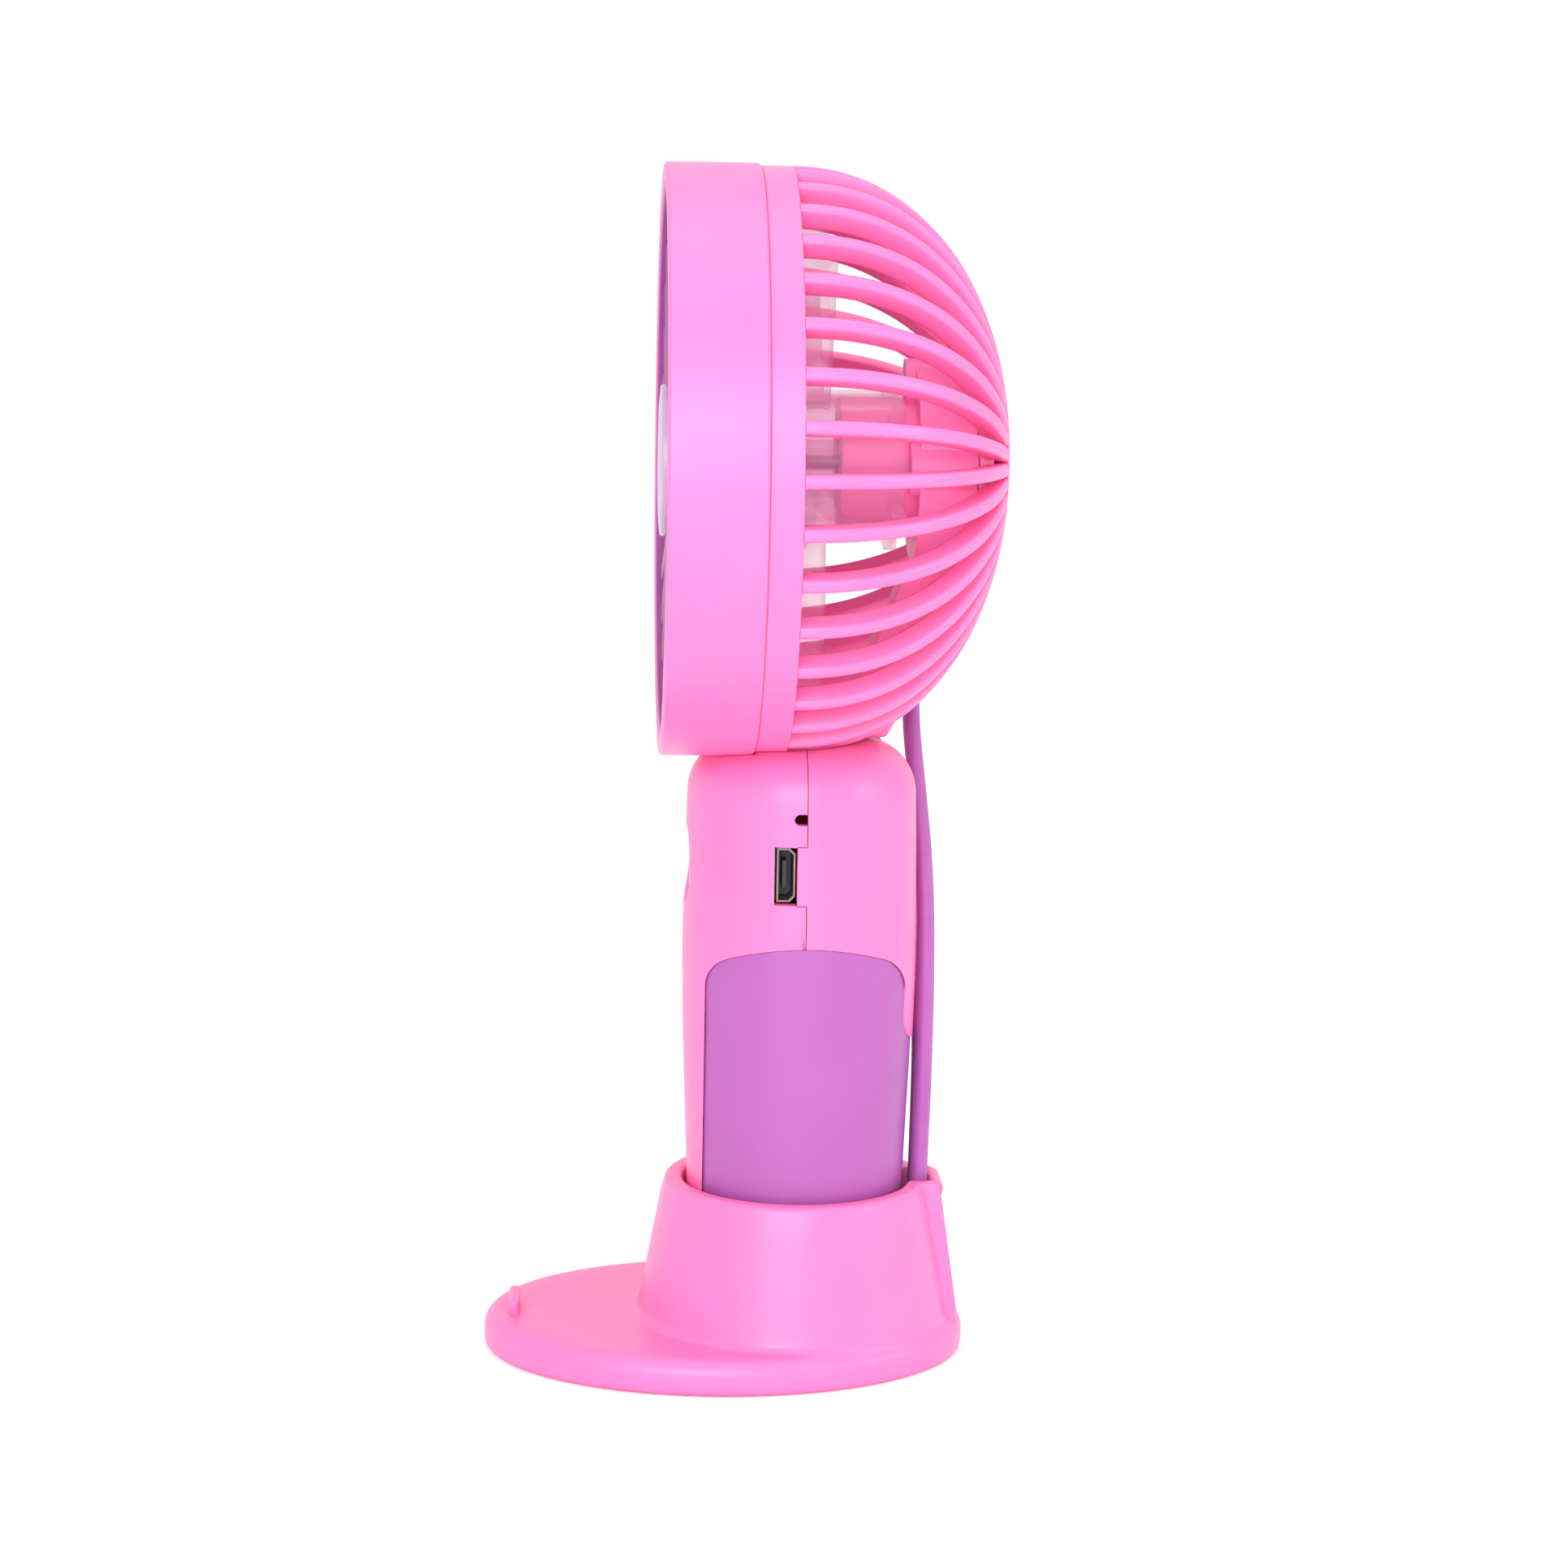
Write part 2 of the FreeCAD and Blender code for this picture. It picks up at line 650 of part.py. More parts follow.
# ---- Impeller ---------------------------------------------------------------------------
def blade_section(radius, width, sweep):
    """Curved plate section of a blade in the plane at one radius."""
    front = V(-sweep / 2, blade_rear_y - width, head_z + radius)
    rear = V(sweep / 2, blade_rear_y, head_z + radius)
    along = (rear - front).normalize()
    normal = V(along.y, -along.x, 0)
    middle = (front + rear) * 0.5 + normal * blade_camber
    offset = normal * (blade_thick / 2)
    return Part.Wire([Part.Arc(front + offset, middle + offset, rear + offset).toShape(),
                      Part.makeLine(rear + offset, rear - offset),
                      Part.Arc(rear - offset, middle - offset, front - offset).toShape(),
                      Part.makeLine(front - offset, front + offset)])


def make_impeller():
    nose = rod_y(hub_r, hub_nose_y, hub_rear_y)
    front = edges_where(nose, lambda e: abs(e.BoundBox.YMax - hub_nose_y) < 0.01)
    nose = nose.makeFillet(hub_nose_round, front)
    hollow = rod_y(hub_r - hub_wall, hub_web_y + hub_web_thick, hub_rear_y + 1)
    front_hollow = rod_y(hub_r - hub_rim_width, hub_nose_y - 1, hub_web_y)
    boss = rod_y(hub_boss_r, hub_web_y, hub_boss_rear_y)
    hub = nose.cut(hollow).cut(front_hollow).fuse(boss)
    mid_r = 0.5 * (hub_r + blade_tip_r)
    mid_width = 0.5 * (blade_root_width + blade_tip_width)
    mid_sweep = 0.5 * (blade_root_sweep + blade_tip_sweep)
    sections = [blade_section(hub_r - 1.5, blade_root_width, blade_root_sweep),
                blade_section(mid_r, mid_width, mid_sweep),
                blade_section(blade_tip_r + 2, blade_tip_width, blade_tip_sweep)]
    blade = Part.makeLoft(sections, True, False)
    blade = blade.common(ring_about_head(blade_tip_r, hub_r - hub_wall / 2, -30, 30))
    fin = box(-fin_thick / 2, fin_thick / 2, hub_rear_y - fin_length, hub_rear_y,
              head_z + hub_r - hub_wall / 2, head_z + hub_r + fin_height)
    wheel = fused([hub] + around_head(blade, blade_count, blade_phase) + around_head(fin, fin_count, fin_phase))
    return wheel.cut(rod_y(shaft_r, shaft_front_y, hub_boss_rear_y + 1))


# ---- Motor ------------------------------------------------------------------------------
def make_motor_housing():
    """Tube round the motor and a cup behind it, with half-round screw bosses on the cup."""
    places = screw_places(boss_angles, boss_centre_r)
    wall_rear_y = cup_front_y + cup_wall
    outside = [rod_y(boss_r, boss_front_y, cup_rear_y, x, z) for x, z in places]
    outside += [rod_y(tube_r, housing_front_y, wall_rear_y), rod_y(cup_r, cup_front_y, cup_rear_y)]
    kept = fused([rod_y(boss_r, cup_front_y, cup_rear_y, x, z) for x, z in places])
    inside = rod_y(cup_r - cup_wall, wall_rear_y, cup_rear_y + 1).cut(kept)
    housing = fused(outside).cut(inside)
    cuts = [rod_y(tube_inner_r, housing_front_y + housing_front_wall, cup_rear_y + 1),
            rod_y(nose_r + 3 * seat_gap, housing_front_y - 1, cup_rear_y),
            box(-duct_half_x + duct_wall, duct_half_x - duct_wall, wall_rear_y, cup_rear_y + 1,
                head_z - cup_r - 1, head_z - cup_r + 3 * cup_wall)]
    for x, z in places:
        cuts.append(rod_y(screw_r + seat_gap, boss_front_y - 1, cup_rear_y + 1, x, z))
        cuts.append(rod_y(screw_head_r + seat_gap, boss_front_y - 1, boss_front_y + screw_head_length, x, z))
    for cut in cuts:
        housing = housing.cut(cut)
    return housing


def make_housing_screws():
    screws = []
    for x, z in screw_places(boss_angles, boss_centre_r):
        head = rod_y(screw_head_r, boss_front_y + seat_gap, boss_front_y + screw_head_length, x, z)
        shank = rod_y(screw_r, boss_front_y + seat_gap, mount_disc_y + mount_disc_thick - 2 * seat_gap, x, z)
        screws.append(head.fuse(shank).removeSplitter())
    return Part.makeCompound(screws)


def make_motor_can():
    can = ring_about_head(can_r, can_r - can_wall, can_front_y, can_rear_y)
    front = ring_about_head(can_r, bush_r, can_front_y, can_front_y + can_wall)
    nose = ring_about_head(nose_r, bush_r, can_front_y - nose_length, can_front_y + can_wall)
    return fused([can, front, nose])


def make_bush(y0):
    return ring_about_head(bush_r - press_gap, shaft_r + run_gap, y0, y0 + bush_length)


def make_motor_end_bell():
    bell = ring_about_head(can_r, bush_r, can_rear_y, bell_rear_y)
    for side in (-1, 1):
        slot_x = side * terminal_x
        bell = bell.cut(box(slot_x - terminal_width / 2, slot_x + terminal_width / 2, can_rear_y - 1,
                            bell_rear_y + 1, head_z - terminal_thick / 2, head_z + terminal_thick / 2))
    return bell


def make_motor_magnets():
    ring = ring_about_head(can_r - can_wall - snap_gap, can_r - can_wall - magnet_thick,
                           core_front_y, core_rear_y)
    gap = box(-magnet_gap_half, magnet_gap_half, 0, 30, head_z - can_r, head_z + can_r)
    return ring.cut(gap)


def make_armature_core():
    core = rod_y(core_r, core_front_y, core_rear_y)
    slot = box(-core_slot_width / 2, core_slot_width / 2, core_front_y - 1, core_rear_y + 1,
               head_z + core_hub_r, head_z + core_r + 1)
    pocket = box(-core_pocket_half, core_pocket_half, core_front_y - 1, core_rear_y + 1,
                 head_z + core_hub_r, head_z + core_r - pole_shoe_thick)
    core = core.cut(fused(around_head(slot.fuse(pocket), core_slots)))
    return core.cut(rod_y(shaft_r, core_front_y - 1, core_rear_y + 1))


def make_armature_windings():
    half = core_pocket_half - 1.5 * winding_gap
    fill = box(-half, half, core_front_y - winding_overhang, core_rear_y + winding_overhang,
               head_z + core_hub_r + winding_gap, head_z + core_r - pole_shoe_thick - winding_gap)
    return Part.makeCompound(around_head(fill, core_slots))


def make_commutator():
    front_y = core_rear_y + commutator_gap
    return ring_about_head(commutator_r, shaft_r, front_y, front_y + commutator_length)


def make_motor_brushes():
    front_y = core_rear_y + commutator_gap + brush_lag
    brush = box(-brush_half, brush_half, front_y, front_y + brush_length,
                head_z + commutator_r + run_gap, head_z + commutator_r + brush_reach)
    return Part.makeCompound(around_head(brush, 2))


def make_motor_terminals():
    blades = []
    for side in (-1, 1):
        x = side * terminal_x
        blades.append(box(x - terminal_width / 2, x + terminal_width / 2, can_rear_y + 0.2,
                          bell_rear_y + terminal_length, head_z - terminal_thick / 2,
                          head_z + terminal_thick / 2))
    return Part.makeCompound(blades)


def make_motor_lead(side):
    """Lead from one terminal down the duct and the neck to the circuit board."""
    x = side * 1.1
    gap = lead_r + 0.05
    start_y = bell_rear_y + terminal_length - lead_r
    points = [(side * terminal_x, start_y, head_z - terminal_thick / 2 - gap),
              (side * terminal_x, start_y, head_z - 5.0),
              (x, start_y, head_z - cup_r + 4.0),
              (x, cup_rear_y - 3.4, head_z - cup_r - 4.0),
              (x, foot_rear_y - 0.8, head_z - band_inner_r + 1.6),
              (x, neck_channel_rear_y - 3.2, head_z - band_inner_r - 1.0),
              (x, neck_channel_rear_y - 3.2, board_top_z - 0.6),
              (side * 2.4, board_rear_y + gap, board_top_z - 2.6)]
    return wire_tube(points, lead_r)


# ---- Handle pieces ----------------------------------------------------------------------
def hollow_space():
    upper = rod_z(cavity_r, cavity_bottom_z, cavity_top_z)
    upper = upper.makeFillet(cavity_corner, edges_where(
        upper, lambda e: abs(e.BoundBox.ZMin - cavity_top_z) < 0.01 and e.BoundBox.XLength > 1))
    well = rod_z(well_r, handle_bottom_z + floor_thick, cavity_bottom_z + 0.5)
    return upper.fuse(well)


def cover_recess():
    """What the cover and its clearance take out of the handle."""
    skin = handle_column(1.0, handle_bottom_z - 1).cut(handle_column(-recess_inset, handle_bottom_z - 2))
    return skin.common(cover_outline(seat_gap))


def button_dish():
    surface_y = -handle_radius(button_z)
    depth = dish_depth + 1.0
    slope = (dish_r - dish_bottom_r) / dish_depth
    return Part.makeCone(dish_r + slope, dish_bottom_r, depth, V(0, surface_y - 1.0, button_z), AXIS_Y)


def handle_blank(keep_rear):
    blank = split(handle_body().cut(hollow_space()).cut(cover_recess()), keep_rear)
    inside = handle_column(-recess_inset, handle_bottom_z)
    posts = []
    for z in post_heights:
        for x in (-post_x, post_x):
            posts.append(rod_y(post_r, -12, 12, x, z))
    return blank.fuse(split(fused(posts).common(inside), keep_rear)).removeSplitter()


def screw_seat_y(head):
    """Depth of the seat of a handle screw in the rear shell."""
    surface = sqrt((handle_radius(head) - recess_inset) ** 2 - (post_x + screw_head_r) ** 2)
    return surface - screw_head_length - screw_sink


def anchor_tail(grow):
    return box(-anchor_tail_half_x - grow, anchor_tail_half_x + grow, well_r - 1.2, 30,
               anchor_bottom_z - grow, strap_exit_z + grow)


def make_handle_front_shell():
    shell = handle_blank(False)
    cuts = [neck(seat_gap, handle_top_z + 1), button_dish(),
            rod_y(button_r + air_gap / 2, -20, -10, 0, button_z)]
    for z in post_heights:
        for x in (-post_x, post_x):
            cuts.append(rod_y(screw_r - snap_gap, -screw_reach - 0.5, 1, x, z))
    half = usb_width / 2 + usb_slot_margin
    cuts.append(box(cavity_r - 3, 20, board_rear_y - 0.3, 0, usb_z - half, usb_z + half))
    cuts.append(led_slot())
    shell = shell.cut(fused(cuts))
    posts = []
    for x, z in board_screws_at:
        post = rod_y(post_r, -20, board_front_y - seat_gap, x, z).cut(
            rod_y(screw_r - snap_gap, board_front_y - board_screw_reach - 0.5, board_front_y + 1, x, z))
        posts.append(post.common(rod_z(cavity_r + 0.5, cavity_bottom_z, cavity_top_z)))
    return shell.fuse(fused(posts)).removeSplitter()


def led_slot():
    half = led_slot_height / 2
    body = box(cavity_r - 3, 20, -led_slot_depth + half, 0.0, led_z - half, led_z + half)
    end = Part.makeCylinder(half, 20 - cavity_r + 3, V(cavity_r - 3, -led_slot_depth + half, led_z), V(1, 0, 0))
    return body.fuse(end)


def make_handle_rear_shell():
    shell = handle_blank(True)
    cuts = [neck(seat_gap, handle_top_z + 1), anchor_tail(seat_gap)]
    for z in post_heights:
        seat = screw_seat_y(z)
        for x in (-post_x, post_x):
            cuts.append(rod_y(screw_r + seat_gap, -1, 20, x, z))
            cuts.append(rod_y(screw_head_r + seat_gap, seat, 20, x, z))
    return shell.cut(fused(cuts)).removeSplitter()


def make_grip_cover():
    skin = handle_column(-cover_drop, handle_bottom_z).cut(
        handle_column(-cover_drop - cover_thick, handle_bottom_z - 1))
    cover = skin.common(cover_outline(0.0))
    return cover.cut(anchor_tail(seat_gap))


def make_handle_screws():
    screws = []
    for z in post_heights:
        seat = screw_seat_y(z)
        for x in (-post_x, post_x):
            head = rod_y(screw_head_r, seat + press_gap, seat + screw_head_length, x, z)
            shank = rod_y(screw_r - 2 * snap_gap, -screw_reach, seat + 0.5, x, z)
            screws.append(head.fuse(shank).removeSplitter())
    return Part.makeCompound(screws)


def make_power_button():
    rear_y = button_flange_y + button_flange_thick
    cap = rod_y(button_r, button_face_y, rear_y, 0, button_z)
    cap = cap.makeFillet(0.6, edges_where(cap, lambda e: abs(e.BoundBox.YMax - button_face_y) < 0.01))
    flange = rod_y(button_flange_r, button_flange_y, rear_y, 0, button_z)
    return cap.fuse(flange).removeSplitter()


# ---- Electrics --------------------------------------------------------------------------
def make_circuit_board():
    board = box(board_left_x, board_right_x, board_front_y, board_rear_y, board_bottom_z, board_top_z)
    corners = edges_where(board, lambda e: abs(e.BoundBox.YLength - board_thick) < 0.01)
    board = board.makeFillet(1.0, corners)
    for x, z in board_screws_at:
        board = board.cut(rod_y(screw_r + seat_gap, board_front_y - 1, board_rear_y + 1, x, z))
    return board


def make_board_screws():
    screws = []
    for x, z in board_screws_at:
        head = rod_y(screw_head_r, board_rear_y + press_gap, board_rear_y + screw_head_length - seat_gap, x, z)
        shank = rod_y(screw_r - 2 * snap_gap, board_front_y - board_screw_reach, board_rear_y + 0.5, x, z)
        screws.append(head.fuse(shank).removeSplitter())
    return Part.makeCompound(screws)


def usb_section(inset, x0, length):
    """Six-sided section of the socket, its narrow side to the rear."""
    front = board_rear_y + usb_lift + inset
    rear = board_rear_y + usb_lift + usb_height - inset
    half = usb_width / 2 - inset
    cut = usb_chamfer - inset * tan(pi / 8)
    loop = [V(x0, front, usb_z - half), V(x0, rear - cut, usb_z - half), V(x0, rear, usb_z - half + cut),
            V(x0, rear, usb_z + half - cut), V(x0, rear - cut, usb_z + half), V(x0, front, usb_z + half),
            V(x0, front, usb_z - half)]
    return Part.Face(Part.Wire(chain(loop))).extrude(V(length, 0, 0))


def make_usb_socket_shell():
    start = usb_mouth_x - usb_length
    return usb_section(0.0, start, usb_length).cut(usb_section(usb_sheet, start + usb_sheet, usb_length))


def make_usb_socket_tongue():
    start = usb_mouth_x - usb_length + usb_sheet + press_gap
    back = usb_section(usb_sheet + usb_lift, start, usb_back_thick)
    front_y = board_rear_y + usb_lift + usb_sheet + 0.5
    blade = box(start, usb_mouth_x - usb_tongue_inset, front_y, front_y + usb_tongue_thick,
                usb_z - usb_tongue_half, usb_z + usb_tongue_half)
    return back.fuse(blade).removeSplitter()


def make_tact_switch_body():
    half = switch_size / 2
    body = box(-half, half, board_front_y - switch_depth, board_front_y, button_z - half, button_z + half)
    bore_y = board_front_y - switch_depth - 1
    body = body.cut(rod_y(plunger_r + air_gap / 2, bore_y, board_front_y - switch_floor, 0, button_z))
    return body.cut(rod_y(plunger_flange_r + air_gap / 2, board_front_y - switch_depth + switch_lip,
                          board_front_y - switch_floor, 0, button_z))


def make_tact_switch_plunger():
    front_y = button_flange_y + button_flange_thick
    rear_y = board_front_y - switch_floor - button_travel - 2 * seat_gap
    stem = rod_y(plunger_r, front_y, rear_y, 0, button_z)
    flange_y = board_front_y - switch_depth + switch_lip + 2 * seat_gap
    flange = rod_y(plunger_flange_r, flange_y, rear_y, 0, button_z)
    return stem.fuse(flange).removeSplitter()


def make_control_chip():
    left = board_left_x + chip_left
    return box(left, left + chip_size, board_rear_y, board_rear_y + chip_height,
               chip_z - 0.4 * chip_size, chip_z + 0.4 * chip_size)


def make_indicator_led():
    right = board_right_x - 2 * seat_gap
    return box(right - led_length, right, board_rear_y, board_rear_y + led_height,
               led_z - led_width / 2, led_z + led_width / 2)


def make_battery_cell():
    body = rod_z(cell_r, cell_bottom_z, cell_top_z)
    body = body.makeFillet(0.6, edges_where(body, lambda e: e.BoundBox.ZLength < 0.01))
    return body.fuse(rod_z(cell_button_r, cell_top_z - 0.2, contact_z)).removeSplitter()


def make_battery_spring():
    """Coil spring under the cell, as stacked rings on short posts, on its contact plate."""
    plate_z = handle_bottom_z + floor_thick
    plate = box(-contact_half, contact_half, -contact_half, contact_half, plate_z + press_gap,
                plate_z + contact_thick)
    top = cell_bottom_z
    height = top - plate_z - contact_thick - spring_wire
    pitch = height / spring_turns
    helix = Part.makeHelix(pitch, height, spring_r)
    helix.translate(V(0, 0, plate_z + contact_thick + 0.4 * spring_wire))
    start = helix.Edges[0].valueAt(helix.Edges[0].FirstParameter)
    direction = helix.Edges[0].tangentAt(helix.Edges[0].FirstParameter)
    section = Part.Wire(Part.makeCircle(spring_wire / 2, start, direction))
    coil = Part.Wire(helix.Edges).makePipeShell([section], True, True)
    return plate.fuse(Part.Solid(coil) if coil.ShapeType == "Shell" else coil)


def make_battery_contact():
    return box(-contact_half, contact_half, -contact_half, contact_half, contact_z, contact_z + contact_thick)


def make_battery_lead_red():
    x = contact_half - 1.0
    points = [(x, 2.0, contact_z + contact_thick), (x, 2.0, board_bottom_z + 1.6),
              (x, board_rear_y + lead_r + 0.05, board_bottom_z + 3.0)]
    return wire_tube(points, lead_r)


def make_battery_lead_black():
    y = 0.5 * (cell_r + well_r)
    low = handle_bottom_z + floor_thick + contact_thick + lead_r
    points = [(-4.0, contact_half - 0.6, low), (-4.0, y - 0.6, low + 0.6), (-4.0, y - 0.6, board_bottom_z),
              (-4.6, board_rear_y + lead_r + 0.05, board_bottom_z + 2.4)]
    return wire_tube(points, lead_r)


# ---- Base -------------------------------------------------------------------------------
def cup_slope():
    return (cup_foot_r - cup_rim_r) / (cup_rim_z - plate_thick)


def make_base_stand():
    ellipse = Part.Ellipse(V(0, plate_centre_y, 0), plate_half_y, plate_half_x)
    ellipse.AngleXU = pi / 2
    plate = Part.Face(Part.Wire(ellipse.toShape())).extrude(V(0, 0, plate_thick))
    plate = plate.makeFillet(plate_round, edges_where(plate, lambda e: e.BoundBox.ZMin > plate_thick - 0.01))
    plate = plate.makeFillet(plate_foot_round, edges_where(plate, lambda e: e.BoundBox.ZMax < 0.01))
    low_z = plate_round
    foot_r = cup_foot_r + cup_slope() * (plate_thick - low_z)
    cone = Part.makeCone(foot_r, cup_rim_r, cup_rim_z - low_z, V(0, 0, low_z), AXIS_Z)
    block = fused([plate, cone, channel_bulge(low_z)])
    rim = edges_where(block, lambda e: e.BoundBox.ZMin > cup_rim_z - 0.01)
    block = block.makeFillet(cup_rim_round, rim)
    bore = handle_column(lift_gap, cup_floor).common(box(-30, 30, -30, 30, cup_floor, cup_rim_z + 1))
    channel = box(-channel_half_x, channel_half_x, 10, channel_rear_y, channel_floor_z, cup_rim_z + 1)
    return block.cut(bore.fuse(channel)).fuse(phone_stop()).removeSplitter()


def channel_bulge(low_z):
    """Rounded buttress that holds the strap's channel, sloped like the cup."""
    slope = (bulge_foot_y - bulge_rim_y) / (cup_rim_z - plate_thick)
    low_y = bulge_foot_y + slope * (plate_thick - low_z)
    start = V(0, 5, low_z)
    loop = [start, V(0, low_y, low_z), V(0, bulge_rim_y, cup_rim_z), V(0, 5, cup_rim_z), start]
    face = Part.Face(Part.Wire(chain(loop)))
    face.translate(V(-bulge_half_x, 0, 0))
    bulge = face.extrude(V(2 * bulge_half_x, 0, 0))
    rear = edges_where(bulge, lambda e: e.BoundBox.YMin > bulge_rim_y - 0.01 and e.BoundBox.XLength < 0.01)
    return bulge.makeFillet(bulge_round, rear)


def phone_stop():
    half = stop_thick / 2
    top = plate_thick + stop_height
    ridge = box(-stop_half_x, stop_half_x, stop_y - half, stop_y + half, plate_thick - 1, top)
    upper = edges_where(ridge, lambda e: e.BoundBox.ZMax > top - 0.01)
    return ridge.makeFillet(0.45 * stop_thick, upper)


# ---- Strap ------------------------------------------------------------------------------
def make_strap_anchor():
    body = box(-anchor_half_x, anchor_half_x, handle_radius(6) + air_gap, anchor_rear_y, anchor_bottom_z,
               strap_exit_z)
    body = body.makeFillet(0.8, edges_where(body, lambda e: e.BoundBox.YMin > anchor_rear_y - 0.01))
    tail = box(-anchor_tail_half_x, anchor_tail_half_x, well_r + inner_wall / 2, anchor_rear_y - 1,
               anchor_bottom_z + 0.2, strap_exit_z)
    return body.fuse(tail).removeSplitter()


def strap_path():
    """Straight runs joined by tangent arcs, each as large as its two runs allow."""
    points = [V(*p) for p in strap_route]
    edges, radii, here = [], [], points[0]
    for before, corner, after in zip(points, points[1:], points[2:]):
        into, out = corner - before, after - corner
        turn = into.getAngle(out)
        cut_back = 0.45 * min(into.Length, out.Length)
        radius = cut_back / tan(turn / 2)
        start = corner - into.normalize() * cut_back
        end = corner + out.normalize() * cut_back
        bisector = (start + end) * 0.5 - corner
        sagitta = radius / cos(turn / 2) - radius
        middle = corner + bisector.normalize() * sagitta
        edges += [Part.LineSegment(here, start).toShape(), Part.Arc(start, middle, end).toShape()]
        radii.append(radius)
        here = end
    edges.append(Part.LineSegment(here, points[-1]).toShape())
    return Part.Wire(edges), radii


def make_strap_cord():
    path, radii = strap_path()
    first = V(*strap_route[1]) - V(*strap_route[0])
    section = Part.Wire(Part.makeCircle(strap_d / 2, V(*strap_route[0]), first))
    cord = path.makePipeShell([section], True, False)
    expected = pi * (strap_d / 2) ** 2 * path.Length
    print("strap length %.1f, radii %s" % (path.Length, " ".join("%.0f" % r for r in radii)))
    print("strap volume %.1f, section times length %.1f" % (cord.Volume, expected))
    return cord


pieces = {
    "base_stand": make_base_stand,
    "handle_front_shell": make_handle_front_shell,
    "handle_rear_shell": make_handle_rear_shell,
    "handle_screws": make_handle_screws,
    "grip_cover": make_grip_cover,
    "head_ring": make_head_ring,
    "rear_cage": make_rear_cage,
    "front_grille": make_front_grille,
    "grille_cap": make_grille_cap,
    "impeller": make_impeller,
    "motor_housing": make_motor_housing,
    "housing_screws": make_housing_screws,
    "motor_can": make_motor_can,
    "motor_end_bell": make_motor_end_bell,
    "motor_magnets": make_motor_magnets,
    "motor_front_bush": lambda: make_bush(can_front_y - nose_length),
    "motor_rear_bush": lambda: make_bush(can_rear_y),
    "motor_shaft": lambda: rod_y(shaft_r, shaft_front_y, bell_rear_y + 0.4),
    "motor_brushes": make_motor_brushes,
    "motor_terminals": make_motor_terminals,
    "motor_lead_red": lambda: make_motor_lead(1),
    "motor_lead_black": lambda: make_motor_lead(-1),
    "armature_core": make_armature_core,
    "armature_windings": make_armature_windings,
    "commutator": make_commutator,
    "power_button": make_power_button,
    "circuit_board": make_circuit_board,
    "board_screws": make_board_screws,
    "usb_socket_shell": make_usb_socket_shell,
    "usb_socket_tongue": make_usb_socket_tongue,
    "tact_switch_body": make_tact_switch_body,
    "tact_switch_plunger": make_tact_switch_plunger,
    "control_chip": make_control_chip,
    "indicator_led": make_indicator_led,
    "battery_cell": make_battery_cell,
    "battery_spring": make_battery_spring,
    "battery_contact": make_battery_contact,
    "battery_lead_red": make_battery_lead_red,
    "battery_lead_black": make_battery_lead_black,
    "strap_anchor": make_strap_anchor,
    "strap_cord": make_strap_cord,
}

os.makedirs("parts", exist_ok=True)
for name, make in pieces.items():
    shape = make()
    print("%-22s solids %d valid %s volume %.1f" % (name, len(shape.Solids), shape.isValid(), shape.Volume))
    shape.exportStep("parts/%s.step" % name)
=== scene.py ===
"""Handheld electric fan standing in its cradle base: skins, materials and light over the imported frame.

Everything is in metres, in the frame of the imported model: +Z up, the fan blows towards -Y.
"""
import json
from math import cos, exp, hypot, log, pi, radians, sin, sqrt
import bmesh
import bpy
from mathutils import Matrix, Vector


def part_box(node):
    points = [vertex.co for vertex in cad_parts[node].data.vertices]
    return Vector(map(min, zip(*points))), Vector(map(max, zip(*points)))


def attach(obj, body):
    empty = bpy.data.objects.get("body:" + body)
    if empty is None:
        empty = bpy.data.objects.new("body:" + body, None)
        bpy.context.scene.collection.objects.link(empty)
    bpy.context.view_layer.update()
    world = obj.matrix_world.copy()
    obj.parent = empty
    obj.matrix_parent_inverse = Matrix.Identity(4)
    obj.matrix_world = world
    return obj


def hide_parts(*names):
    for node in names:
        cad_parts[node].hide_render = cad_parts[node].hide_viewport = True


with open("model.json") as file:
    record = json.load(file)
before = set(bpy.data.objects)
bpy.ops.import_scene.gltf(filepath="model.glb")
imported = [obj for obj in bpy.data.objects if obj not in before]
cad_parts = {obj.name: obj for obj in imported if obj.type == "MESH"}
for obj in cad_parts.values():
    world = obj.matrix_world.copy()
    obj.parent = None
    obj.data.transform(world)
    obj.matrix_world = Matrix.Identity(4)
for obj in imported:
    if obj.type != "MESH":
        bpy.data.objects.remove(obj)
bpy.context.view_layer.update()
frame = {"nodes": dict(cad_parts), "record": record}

MM = 0.001

weld_distance = 1e-7
frame_weld_distance = 2e-6    # the frame's meshes come with split vertices
flat_angle = 0.6              # degrees; facets closer than this are one face
smooth_angle = 30             # degrees; edges flatter than this are shaded smooth
bevel_angle = 35.0            # degrees; edges sharper than this are rounded

# ---- Places and sizes read from the frame -----------------------------------------------
ring_low, ring_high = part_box("head_ring")
cage_low, cage_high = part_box("rear_cage")
cap_low, cap_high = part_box("grille_cap")
grille_low, grille_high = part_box("front_grille")
wheel_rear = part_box("impeller")[1][1]
base_low, base_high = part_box("base_stand")
housing_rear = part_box("motor_housing")[1][1]

head_z = 0.5 * (ring_low[2] + ring_high[2])
ring_r = 0.5 * (ring_high[0] - ring_low[0])
ring_front = ring_low[1]
seam = ring_high[1]
band_step = 0.35 * MM
band_length = 4.4 * MM
band_r = ring_r - band_step
band_rear = seam + band_length
apex = cage_high[1]
lining_r = 0.5 * (grille_high[0] - grille_low[0])
disc_front = housing_rear + 0.1 * MM


# ---- Mesh helpers -----------------------------------------------------------------------
def object_from(name, mesh, material):
    mesh.materials.clear()
    mesh.materials.append(material)
    piece = bpy.data.objects.new(name, mesh)
    bpy.context.scene.collection.objects.link(piece)
    return piece


